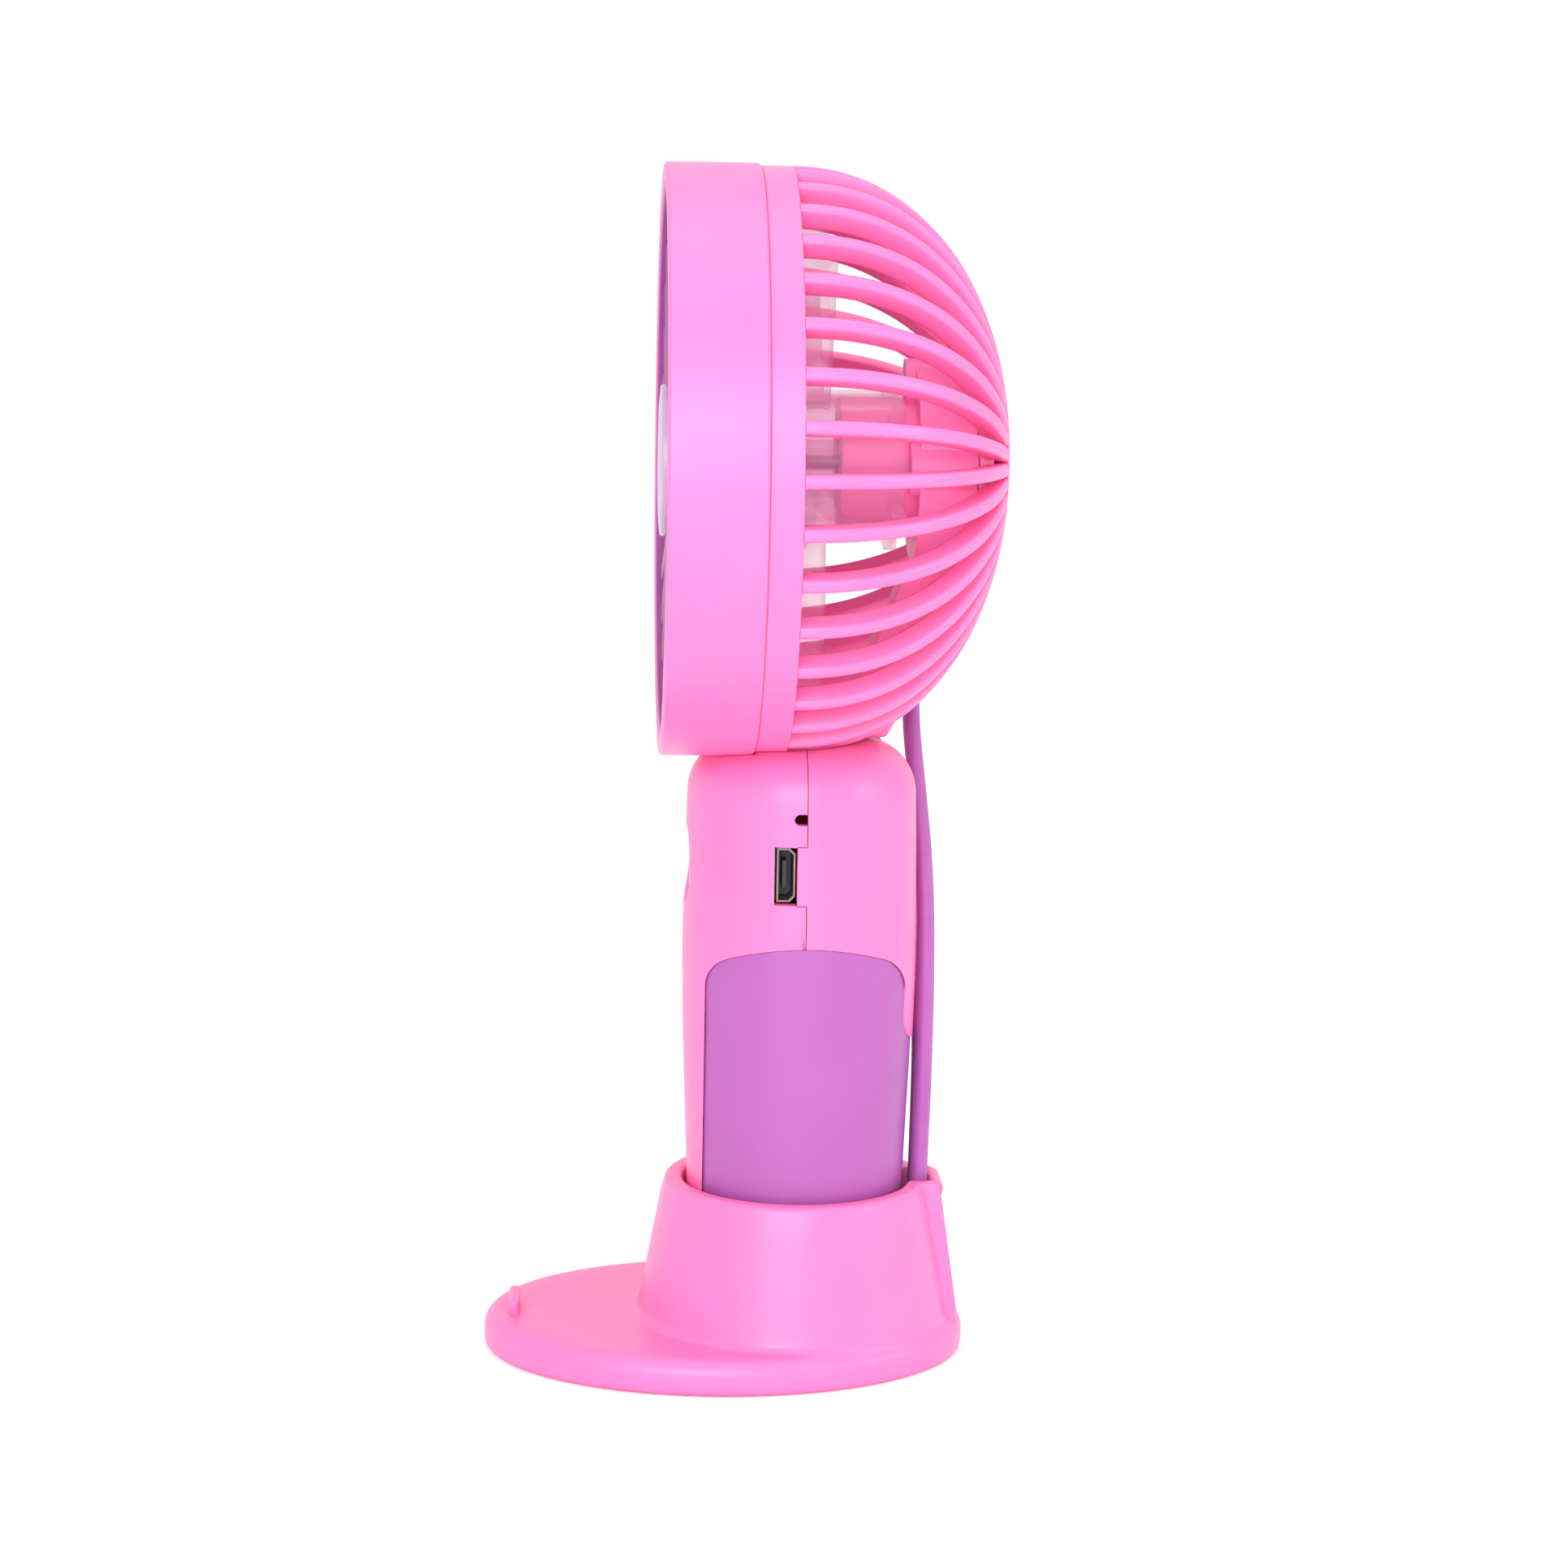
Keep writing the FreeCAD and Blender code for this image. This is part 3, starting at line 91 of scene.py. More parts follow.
def finished_mesh(bm, name, smooth=True):
    bmesh.ops.remove_doubles(bm, verts=bm.verts, dist=weld_distance)
    bmesh.ops.recalc_face_normals(bm, faces=bm.faces)
    for face in bm.faces:
        face.smooth = smooth
    mesh = bpy.data.meshes.new(name)
    bm.to_mesh(mesh)
    bm.free()
    return mesh


def rounded_edges(piece, width, segments=3):
    """Rounds the sharp edges, as a moulded or machined piece has them."""
    bevel = piece.modifiers.new("rounded_edges", "BEVEL")
    bevel.width = width
    bevel.segments = segments
    bevel.limit_method = "ANGLE"
    bevel.angle_limit = radians(bevel_angle)
    bevel.harden_normals = True
    return piece


def lathe(bm, outline, segments):
    """Turns a closed outline of (radius, y) about the head's axis. A radius of 0 makes a pole."""
    turns = [2 * pi * i / segments for i in range(segments)]
    rings = []
    for radius, y in outline:
        if radius < 1e-6:
            rings.append([bm.verts.new((0, y, head_z))])
            continue
        rings.append([bm.verts.new((radius * sin(a), y, head_z + radius * cos(a))) for a in turns])
    for low, high in zip(rings, rings[1:] + rings[:1]):
        for i in range(segments):
            j = (i + 1) % segments
            corners = [low[i % len(low)], low[j % len(low)], high[j % len(high)], high[i % len(high)]]
            unique = list(dict.fromkeys(corners))
            if len(unique) > 2:
                bm.faces.new(unique)


def turned_piece(name, outline, material, edge, segments):
    bm = bmesh.new()
    lathe(bm, outline, segments)
    return rounded_edges(object_from(name, finished_mesh(bm, name), material), edge)


def copied_node(name, node, material, edge):
    """A welded copy of a CAD node with smooth faces and rounded edges."""
    bm = bmesh.new()
    bm.from_mesh(frame["nodes"][node].data)
    bmesh.ops.remove_doubles(bm, verts=bm.verts, dist=frame_weld_distance)
    bmesh.ops.dissolve_limit(bm, angle_limit=radians(flat_angle), verts=bm.verts, edges=bm.edges)
    for face in bm.faces:
        face.smooth = True
    for sharp in bm.edges:
        sharp.smooth = sharp.calc_face_angle(0.0) < radians(smooth_angle)
    mesh = bpy.data.meshes.new(name)
    bm.to_mesh(mesh)
    bm.free()
    return rounded_edges(object_from(name, mesh, material), edge, 2)


def joined(name, pieces, material):
    """One mesh from several pieces, with their modifiers applied."""
    bm = bmesh.new()
    for piece in pieces:
        settled = evaluated_mesh(piece)
        bm.from_mesh(settled)
        bpy.data.meshes.remove(settled)
        bpy.data.objects.remove(piece)
    mesh = bpy.data.meshes.new(name)
    bm.to_mesh(mesh)
    bm.free()
    return object_from(name, mesh, material)


def evaluated_mesh(piece):
    graph = bpy.context.evaluated_depsgraph_get()
    return bpy.data.meshes.new_from_object(piece.evaluated_get(graph), depsgraph=graph)


# ---- Node helpers -----------------------------------------------------------------------
def added_node(tree, kind, inputs, settings):
    """A node whose sockets are linked or set; inputs maps a socket's name or number to either."""
    node = tree.nodes.new(kind)
    for key, value in settings.items():
        setattr(node, key, value)
    for key, value in dict(inputs).items():
        if isinstance(value, bpy.types.NodeSocket):
            tree.links.new(value, node.inputs[key])
        else:
            node.inputs[key].default_value = value
    return node


class Grower:
    """A Geometry Nodes tree under construction, with named inputs for its sizes."""

    def __init__(self, name, sizes):
        self.tree = bpy.data.node_groups.new(name, "GeometryNodeTree")
        face = self.tree.interface
        face.new_socket("Geometry", in_out="INPUT", socket_type="NodeSocketGeometry")
        face.new_socket("Geometry", in_out="OUTPUT", socket_type="NodeSocketGeometry")
        for size, value in sizes.items():
            kind = "NodeSocketInt" if isinstance(value, int) else "NodeSocketFloat"
            face.new_socket(size, in_out="INPUT", socket_type=kind)
        face.new_socket("Finish", in_out="INPUT", socket_type="NodeSocketMaterial")
        self.sizes = sizes
        self.given = self.tree.nodes.new("NodeGroupInput").outputs

    def add(self, kind, inputs=(), **settings):
        return added_node(self.tree, kind, inputs, settings)

    def math(self, operation, a, b=0.0):
        return self.add("ShaderNodeMath", {0: a, 1: b}, operation=operation).outputs[0]

    def rounded_bar(self, width, height, radius):
        """Closed section of a bar with rounded corners."""
        outline = self.add("GeometryNodeCurvePrimitiveQuadrilateral", {"Width": width, "Height": height})
        soft = self.add("GeometryNodeFilletCurve", {"Curve": outline.outputs[0]})
        soft.mode = "POLY"
        soft.inputs["Radius"].default_value = radius
        soft.inputs["Count"].default_value = 2
        return soft.outputs[0]

    def swept(self, section, stations, x, y):
        """A section swept along a path in the XY plane; x and y are fields of the point's index."""
        line = self.add("GeometryNodeCurvePrimitiveLine")
        points = self.add("GeometryNodeResampleCurve", {"Curve": line.outputs[0]})
        points.inputs["Count"].default_value = stations
        place = self.add("ShaderNodeCombineXYZ", {0: x, 1: y})
        path = self.add("GeometryNodeSetPosition", {"Geometry": points.outputs[0],
                                                    "Position": place.outputs[0]})
        upright = self.add("GeometryNodeSetCurveNormal", {"Curve": path.outputs[0]})
        upright.mode = "Z_UP"
        return self.add("GeometryNodeCurveToMesh", {"Curve": upright.outputs[0], "Profile Curve": section,
                                                    "Fill Caps": True}).outputs[0]

    def share(self, stations):
        """0 to 1 along a path of that many points."""
        index = self.add("GeometryNodeInputIndex").outputs[0]
        return self.math("DIVIDE", index, float(stations - 1))

    def turned(self, geometry, angles, pivot=None):
        """Geometry turned by Euler angles, then lifted to the pivot's height."""
        node = self.add("GeometryNodeTransform", {"Geometry": geometry, "Rotation": angles})
        if pivot is not None:
            lift = self.add("ShaderNodeCombineXYZ", {2: pivot})
            self.tree.links.new(lift.outputs[0], node.inputs["Translation"])
        return node.outputs[0]

    def around_axis(self, geometry, count, phase):
        """Copies in equal steps about the Y axis through the origin."""
        line = self.add("GeometryNodeMeshLine", {"Count": count, "Offset": (0, 0, 0)})
        step = self.math("DIVIDE", 2 * pi, count)
        index = self.add("GeometryNodeInputIndex").outputs[0]
        angle = self.math("ADD", phase, self.math("MULTIPLY", index, step))
        spin = self.add("ShaderNodeCombineXYZ", {1: angle})
        turn = self.add("FunctionNodeEulerToRotation", {0: spin.outputs[0]})
        return self.add("GeometryNodeInstanceOnPoints", {"Points": line.outputs[0], "Instance": geometry,
                                                        "Rotation": turn.outputs[0]}).outputs[0]

    def grown(self, name, geometry, finish, source_mesh=None):
        """Ends the tree, runs it and returns the result as a plain mesh object."""
        real = self.add("GeometryNodeRealizeInstances", {"Geometry": geometry})
        painted = self.add("GeometryNodeSetMaterial", {"Geometry": real.outputs[0],
                                                      "Material": self.given["Finish"]})
        smooth = self.add("GeometryNodeSetShadeSmooth", {"Geometry": painted.outputs[0]})
        self.add("NodeGroupOutput", {0: smooth.outputs[0]})
        carrier = bpy.data.objects.new(name, source_mesh or bpy.data.meshes.new(name))
        bpy.context.scene.collection.objects.link(carrier)
        modifier = carrier.modifiers.new("grown", "NODES")
        modifier.node_group = self.tree
        values = dict(self.sizes, Finish=finish)
        for item in self.tree.interface.items_tree:
            if item.in_out == "INPUT" and item.name in values:
                modifier[item.identifier] = values[item.name]
        mesh = evaluated_mesh(carrier)
        bpy.data.objects.remove(carrier)
        return object_from(name, mesh, finish)


def copies_about_head(name, piece, count, phase, finish):
    """The piece repeated about the head's axis; the piece itself is used up."""
    settled = evaluated_mesh(piece)
    bpy.data.objects.remove(piece)
    grower = Grower(name, {"Count": count, "Phase": radians(phase), "Axis Height": head_z})
    low = grower.math("MULTIPLY", grower.given["Axis Height"], -1.0)
    centred = grower.turned(grower.given["Geometry"], (0, 0, 0), low)
    ring = grower.around_axis(centred, grower.given["Count"], grower.given["Phase"])
    real = grower.add("GeometryNodeRealizeInstances", {"Geometry": ring}).outputs[0]
    lifted = grower.turned(real, (0, 0, 0), grower.given["Axis Height"])
    return grower.grown(name, lifted, finish, settled)


# ---- Material helpers -------------------------------------------------------------------
class Finish:
    """A Principled material under construction, patterned on Object coordinates."""

    def __init__(self, name, roughness, **surface):
        self.material = bpy.data.materials.new(name)
        self.material.use_nodes = True
        self.links = self.material.node_tree.links
        self.shader = self.material.node_tree.nodes["Principled BSDF"]
        self.shader.inputs["Roughness"].default_value = roughness
        for key, value in surface.items():
            self.shader.inputs[key.replace("_", " ").title().replace("Ior", "IOR")].default_value = value
        self.place = self.add("ShaderNodeTexCoord").outputs["Object"]

    def add(self, kind, inputs=(), **settings):
        return added_node(self.material.node_tree, kind, inputs, settings)

    def noise(self, size, detail=3.0, stretch=(1, 1, 1)):
        """Noise whose features are about size metres across."""
        spread = self.add("ShaderNodeMapping", {"Vector": self.place, "Scale": stretch})
        return self.add("ShaderNodeTexNoise", {"Vector": spread.outputs[0], "Scale": 1.0 / size,
                                               "Detail": detail}).outputs["Fac"]

    def wave(self, pitch, direction, distortion=0.0):
        """Bands at a pitch in metres; at scale 1 the node makes 20 / 6.283 bands a unit."""
        scale = 1.0 / (20 * pitch) * 6.283
        node = self.add("ShaderNodeTexWave", {"Vector": self.place, "Scale": scale, "Distortion": distortion})
        node.bands_direction = direction
        return node.outputs["Fac"]

    def coloured(self, pattern, dark, light, low=0.3, high=0.7):
        ramp = self.add("ShaderNodeValToRGB", {0: pattern})
        ramp.color_ramp.elements[0].position = low
        ramp.color_ramp.elements[0].color = (*dark, 1)
        ramp.color_ramp.elements[1].position = high
        ramp.color_ramp.elements[1].color = (*light, 1)
        self.links.new(ramp.outputs[0], self.shader.inputs["Base Color"])

    def rough(self, pattern, low, high):
        spread = self.add("ShaderNodeMapRange", {0: pattern, 3: low, 4: high})
        self.links.new(spread.outputs[0], self.shader.inputs["Roughness"])

    def bumped(self, pattern, depth, strength=1.0):
        bump = self.add("ShaderNodeBump", {"Height": pattern, "Distance": depth, "Strength": strength})
        if self.shader.inputs["Normal"].is_linked:
            self.links.new(self.shader.inputs["Normal"].links[0].from_socket, bump.inputs["Normal"])
        self.links.new(bump.outputs[0], self.shader.inputs["Normal"])


def shade(colour, factor):
    return tuple(min(1.0, c * factor) for c in colour)


def moulded(name, colour, roughness, grain=0.004 * MM, depth_colour=0.0, coat=0.0):
    """Injection-moulded plastic: faint flow clouds, fine spark-eroded grain and uneven gloss."""
    finish = Finish(name, roughness, subsurface_weight=depth_colour, coat_weight=coat)
    finish.shader.inputs["Subsurface Radius"].default_value = (3.0, 1.0, 1.6)
    finish.shader.inputs["Subsurface Scale"].default_value = 0.8 * MM
    finish.shader.inputs["Coat Roughness"].default_value = 0.25
    finish.coloured(finish.noise(16 * MM, 2.0), shade(colour, 0.965), shade(colour, 1.02))
    finish.rough(finish.noise(5 * MM, 4.0), roughness - 0.05, roughness + 0.07)
    finish.bumped(finish.noise(0.32 * MM, 2.0), grain)
    finish.bumped(finish.noise(9 * MM, 1.0), 0.02 * MM, 0.5)
    return finish.material


def frosted_clear(name, colour):
    """Thin clear plastic with a fine frosting: most light passes straight, the rest is softened."""
    finish = Finish(name, 0.16, transmission_weight=0.55, ior=1.30, alpha=0.38)
    finish.coloured(finish.noise(8 * MM, 2.0), shade(colour, 0.97), colour)
    finish.rough(finish.noise(2 * MM, 3.0), 0.10, 0.24)
    finish.bumped(finish.noise(0.4 * MM, 2.0), 0.004 * MM)
    return finish.material


def silicone(name, colour):
    """Soft round cord: satin, with faint dust and drawing lines."""
    finish = Finish(name, 0.48, subsurface_weight=0.12, sheen_weight=0.12)
    finish.shader.inputs["Subsurface Radius"].default_value = (2.0, 0.8, 1.6)
    finish.shader.inputs["Subsurface Scale"].default_value = 0.5 * MM
    finish.shader.inputs["Sheen Roughness"].default_value = 0.5
    finish.coloured(finish.noise(4 * MM, 3.0), shade(colour, 0.93), shade(colour, 1.04))
    finish.rough(finish.noise(1.2 * MM, 3.0), 0.42, 0.56)
    finish.bumped(finish.noise(0.25 * MM, 2.0), 0.006 * MM)
    return finish.material


def metal(name, colour, roughness, stretch=(1, 12, 1)):
    """Plated or drawn metal with fine lines along one axis and slight staining."""
    finish = Finish(name, roughness, metallic=1.0)
    finish.coloured(finish.noise(3 * MM, 3.0), shade(colour, 0.88), shade(colour, 1.05))
    lines = finish.noise(0.5 * MM, 3.0, stretch)
    finish.rough(lines, roughness - 0.08, roughness + 0.1)
    finish.bumped(lines, 0.003 * MM)
    return finish.material


def wire_turns(name, colour, pitch):
    """Enamelled wire wound in close turns."""
    finish = Finish(name, 0.3, metallic=0.85, coat_weight=0.5)
    turns = finish.wave(pitch, "Y", 0.4)
    finish.coloured(turns, shade(colour, 0.35), colour, 0.05, 0.55)
    finish.bumped(turns, 0.05 * MM)
    return finish.material


def laminate(name, mask, copper):
    """Circuit board: solder mask over traces, with a faint glass weave."""
    finish = Finish(name, 0.4, coat_weight=0.4)
    traces = finish.add("ShaderNodeTexBrick", {"Vector": finish.place, "Scale": 420.0, "Mortar Size": 0.03})
    traces.inputs["Color1"].default_value = (*mask, 1)
    traces.inputs["Color2"].default_value = (*shade(mask, 1.25), 1)
    traces.inputs["Mortar"].default_value = (*copper, 1)
    finish.links.new(traces.outputs["Color"], finish.shader.inputs["Base Color"])
    finish.bumped(finish.wave(0.3 * MM, "X"), 0.004 * MM)
    return finish.material


def shrink_wrap(name, colour):
    """Printed film shrunk over a cell, with faint pulls along it."""
    finish = Finish(name, 0.25, coat_weight=0.3)
    pulls = finish.noise(6 * MM, 3.0, (1, 1, 0.15))
    finish.coloured(pulls, shade(colour, 0.8), shade(colour, 1.15))
    finish.bumped(pulls, 0.05 * MM, 0.6)
    return finish.material


pink = (0.900, 0.155, 0.410)
orchid = (0.345, 0.078, 0.335)
grille_purple = (0.280, 0.055, 0.250)

finishes = {
    "pink_shell": moulded("pink_shell", pink, 0.38, depth_colour=0.14, coat=0.06),
    "orchid_cover": moulded("orchid_cover", orchid, 0.42, depth_colour=0.08, coat=0.04),
    "grille_purple": moulded("grille_purple", grille_purple, 0.36, depth_colour=0.06),
    "cap_lavender": moulded("cap_lavender", (0.500, 0.330, 0.500), 0.30, depth_colour=0.06, coat=0.2),
    "clear_blade": frosted_clear("clear_blade", (0.960, 0.430, 0.720)),
    "orchid_cord": silicone("orchid_cord", orchid),
    "nickel_steel": metal("nickel_steel", (0.240, 0.190, 0.175), 0.38),
    "screw_steel": metal("screw_steel", (0.480, 0.480, 0.500), 0.34, (8, 1, 8)),
    "motor_steel": metal("motor_steel", (0.560, 0.560, 0.580), 0.30),
    "bronze": metal("bronze", (0.600, 0.400, 0.200), 0.45),
    "copper": metal("copper", (0.780, 0.380, 0.220), 0.30),
    "enamel_copper": wire_turns("enamel_copper", (0.620, 0.230, 0.090), 0.3 * MM),
    "carbon": moulded("carbon", (0.030, 0.030, 0.032), 0.55, 0.01 * MM),
    "magnet_ferrite": moulded("magnet_ferrite", (0.060, 0.060, 0.065), 0.60, 0.02 * MM),
    "black_plastic": moulded("black_plastic", (0.012, 0.012, 0.013), 0.38),
    "white_nylon": moulded("white_nylon", (0.800, 0.780, 0.720), 0.45, depth_colour=0.2),
    "board_green": laminate("board_green", (0.015, 0.150, 0.060), (0.120, 0.240, 0.070)),
    "led_clear": moulded("led_clear", (0.650, 0.080, 0.060), 0.15, depth_colour=0.4, coat=0.6),
    "red_wire": moulded("red_wire", (0.560, 0.012, 0.012), 0.42),
    "black_wire": moulded("black_wire", (0.014, 0.014, 0.015), 0.42),
    "cell_wrap": shrink_wrap("cell_wrap", (0.030, 0.110, 0.360)),
}


def placed(piece, body, node):
    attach(piece, body)
    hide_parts(node)


# ---- Head -------------------------------------------------------------------------------
ring_wall = 2.4 * MM
ring_edge = 0.5 * MM
shelf_reach = 1.0 * MM
shelf_front = seam - 4.9 * MM
shelf_rear = seam - 3.5 * MM


def head_ring():
    inner = ring_r - ring_wall
    outline = [(ring_r, seam), (ring_r, 0.5 * (seam + ring_front)), (ring_r, ring_front), (inner, ring_front),
               (inner, shelf_front), (inner - shelf_reach, shelf_front), (inner - shelf_reach, shelf_rear),
               (inner, shelf_rear), (inner, seam)]
    piece = turned_piece("head_ring_skin", outline, finishes["pink_shell"], ring_edge, 192)
    placed(piece, "fan", "head_ring")


rib_count = 36
rib_corner = 0.55 * MM
rib_sweep = 1.40          # radians, from the band towards the apex
rib_start = 0.02          # radians, sunk into the band
rib_width = 1.9 * MM
rib_depth = 3.2 * MM
rib_phase = 0.0           # degrees, of the rib nearest to +X
dome_power = 2.15
cap_disc_r = 12.0 * MM


def dome_point(share, inset):
    """(radius, y) on the cage's outline, from the band at share 0 to the apex at share 1."""
    angle = 0.5 * pi * share
    power = 2.0 / dome_power
    radius = (band_r - inset) * max(cos(angle), 0.0) ** power
    return radius, band_rear + (apex - band_rear - inset) * sin(angle) ** power


def cage_ribs():
    """Curved ribs swept from the band to the apex disc."""
    stations = 30
    grower = Grower("cage_ribs", {"Count": rib_count, "Phase": radians(90 - rib_phase), "Radius": band_r,
                                  "Depth": apex - band_rear, "Band Rear": band_rear, "Rib Width": rib_width,
                                  "Rib Depth": rib_depth, "Power": 2.0 / dome_power, "Axis Height": head_z})
    given = grower.given
    turn = grower.math("SUBTRACT", grower.math("MULTIPLY", grower.share(stations), rib_sweep), rib_start)
    centre_r = grower.math("SUBTRACT", given["Radius"], grower.math("MULTIPLY", given["Rib Depth"], 0.5))
    centre_d = grower.math("SUBTRACT", given["Depth"], grower.math("MULTIPLY", given["Rib Depth"], 0.5))
    across = grower.math("POWER", grower.math("MAXIMUM", grower.math("COSINE", turn), 0.0), given["Power"])
    clamped = grower.math("MAXIMUM", grower.math("SINE", turn), 0.0)
    along = grower.math("POWER", clamped, given["Power"])
    x = grower.math("MULTIPLY", centre_r, across)
    y = grower.math("ADD", given["Band Rear"], grower.math("MULTIPLY", centre_d, along))
    section = grower.rounded_bar(given["Rib Depth"], given["Rib Width"], rib_corner)
    rib = grower.turned(grower.swept(section, stations, x, y), (0, -pi / 2, 0))
    ring = grower.around_axis(rib, given["Count"], given["Phase"])
    real = grower.add("GeometryNodeRealizeInstances", {"Geometry": ring}).outputs[0]
    lifted = grower.turned(real, (0, 0, 0), given["Axis Height"])
    return grower.grown("cage_ribs", lifted, finishes["pink_shell"])


def slab(name, corners, half_x, edge):
    """A strut of even width: the (y, z) corners of its side, given thickness along X."""
    bm = bmesh.new()
    left = [bm.verts.new((-half_x, y, z)) for y, z in corners]
    right = [bm.verts.new((half_x, y, z)) for y, z in corners]
    bm.faces.new(left)
    bm.faces.new(right)
    for i in range(len(corners)):
        j = (i + 1) % len(corners)
        bm.faces.new([left[i], left[j], right[j], right[i]])
    return rounded_edges(object_from(name, finished_mesh(bm, name, False), finishes["pink_shell"]), edge)


band_wall = 2.2 * MM
lip_r = ring_r - 2.45 * MM
lip_wall = 0.8 * MM
lip_front = seam - 3.4 * MM
disc_r = 14.2 * MM
disc_thick = 2 * MM
housing_cup_r = 13.5 * MM
strut_half = 3.2 * MM
neck_front, neck_rear, neck_half = -6.9 * MM, 3.1 * MM, 6 * MM
flange_front, flange_rear, flange_half = -8 * MM, 5.3 * MM, 8.2 * MM
flange_thick = 2.2 * MM
foot_rear, foot_half = 9 * MM, 5.6 * MM


def rear_cage():
    inner = band_r - band_wall
    band = turned_piece("band", [(band_r, seam), (band_r, band_rear), (inner, band_rear), (inner, seam),
                                 (lip_r - lip_wall, seam), (lip_r - lip_wall, lip_front),
                                 (lip_r, lip_front), (lip_r, seam)],
                        finishes["pink_shell"], 0.2 * MM, 192)
    start = next(i for i in range(200) if dome_point(i / 200, 0)[0] < cap_disc_r)
    outer = [dome_point(i / 200, 0) for i in range(start, 200, 6)] + [(0, apex)]
    under = [(0, apex - rib_depth)] + [(r, y - 0.4 * MM) for r, y in
                                       [dome_point(i / 200, rib_depth) for i in range(198, start, -12)]]
    nose = turned_piece("nose", outer + under, finishes["pink_shell"], 0.3 * MM, 96)
    disc_rear = disc_front + disc_thick
    disc = turned_piece("disc", [(0, disc_front), (disc_r, disc_front), (disc_r, disc_rear),
                                 (0, disc_rear)][::-1], finishes["pink_shell"], 0.3 * MM, 96)
    cup_low = head_z - housing_cup_r
    floor = head_z - inner - 0.4 * MM
    strut = slab("strut", [(housing_rear - 7.7 * MM, cup_low + 0.5 * MM), (housing_rear, cup_low + 0.5 * MM),
                           (housing_rear, cup_low - 5 * MM), (11.5 * MM, floor + 0.6 * MM),
                           (3.6 * MM, floor), (4.6 * MM, floor + 3 * MM)], strut_half, 0.6 * MM)
    low = cage_low[2]
    flange_top, neck_top = low + flange_thick, floor - 1.9 * MM
    neck = slab("neck", [(neck_front, flange_top), (neck_front, neck_top), (neck_rear, neck_top),
                         (neck_rear, flange_top)], neck_half, 0.4 * MM)
    flange = slab("flange", [(flange_front, low), (flange_front, flange_top), (flange_rear, flange_top),
                             (flange_rear, low)], flange_half, 0.4 * MM)
    foot_top, band_low = head_z - inner + 1.0 * MM, head_z - band_r
    foot = slab("foot", [(neck_front, foot_top), (neck_front, band_low + 0.5 * MM),
                         (band_rear, band_low + 0.5 * MM), (3 * MM, band_low + 0.9 * MM),
                         (foot_rear, band_low + 2.9 * MM), (foot_rear, foot_top + 0.6 * MM)],
                foot_half, 0.4 * MM)
    piece = joined("rear_cage_skin", [band, nose, disc, strut, neck, flange, foot, cage_ribs()],
                   finishes["pink_shell"])
    placed(piece, "fan", "rear_cage")


bar_count = 30
bar_width = 1.2 * MM
bar_depth = 2.0 * MM
bar_front = ring_front + 0.9 * MM
bar_corner = 0.35 * MM
bar_swirl, bar_bow = 34.0, 9.0     # degrees, from the hub to the lining and at mid-span
grille_hub_r = 9.6 * MM
grille_hub_wall = 1.4 * MM
grille_hub_depth = 4.2 * MM
lining_wall = 1.2 * MM


def swirl_bars():
    """Thin bars that sweep from the grille's hub out to its lining."""
    stations = 24
    grower = Grower("swirl_bars", {"Count": bar_count, "Phase": 0.0, "Hub Radius": grille_hub_r - 0.6 * MM,
                                   "Lining Radius": lining_r - 0.8 * MM, "Swirl": radians(bar_swirl),
                                   "Bow": radians(bar_bow), "Bar Width": bar_width, "Bar Depth": bar_depth,
                                   "Bar Middle": bar_front + bar_depth / 2, "Axis Height": head_z})
    given = grower.given
    share = grower.share(stations)
    span = grower.math("SUBTRACT", given["Lining Radius"], given["Hub Radius"])
    radius = grower.math("ADD", given["Hub Radius"], grower.math("MULTIPLY", span, share))
    rest = grower.math("SUBTRACT", 1.0, share)
    bow = grower.math("MULTIPLY", grower.math("MULTIPLY", share, rest), 4.0)
    turn = grower.math("ADD", grower.math("MULTIPLY", given["Swirl"], share),
                       grower.math("MULTIPLY", given["Bow"], bow))
    x = grower.math("MULTIPLY", radius, grower.math("SINE", turn))
    y = grower.math("MULTIPLY", radius, grower.math("COSINE", turn))
    section = grower.rounded_bar(given["Bar Width"], given["Bar Depth"], bar_corner)
    bar = grower.turned(grower.swept(section, stations, x, y), (pi / 2, 0, 0))
    ring = grower.around_axis(bar, given["Count"], given["Phase"])
    real = grower.add("GeometryNodeRealizeInstances", {"Geometry": ring}).outputs[0]
    place = grower.add("ShaderNodeCombineXYZ", {1: given["Bar Middle"], 2: given["Axis Height"]})
    lifted = grower.add("GeometryNodeTransform", {"Geometry": real, "Translation": place.outputs[0]})
    return grower.grown("swirl_bars", lifted.outputs[0], finishes["grille_purple"])


def front_grille():
    front, rear = grille_low[1], grille_high[1]
    inner = lining_r - lining_wall
    lining = turned_piece("lining", [(lining_r, front), (lining_r, rear), (inner, rear), (inner, front)],
                          finishes["grille_purple"], 0.25 * MM, 192)
    hub_inner = grille_hub_r - grille_hub_wall
    hub_rear = bar_front + grille_hub_depth
    hub = turned_piece("hub", [(grille_hub_r, bar_front), (grille_hub_r, hub_rear), (hub_inner, hub_rear),
                               (hub_inner, bar_front)], finishes["grille_purple"], 0.2 * MM, 96)
    piece = joined("front_grille_skin", [lining, hub, swirl_bars()], finishes["grille_purple"])
    placed(piece, "fan", "front_grille")


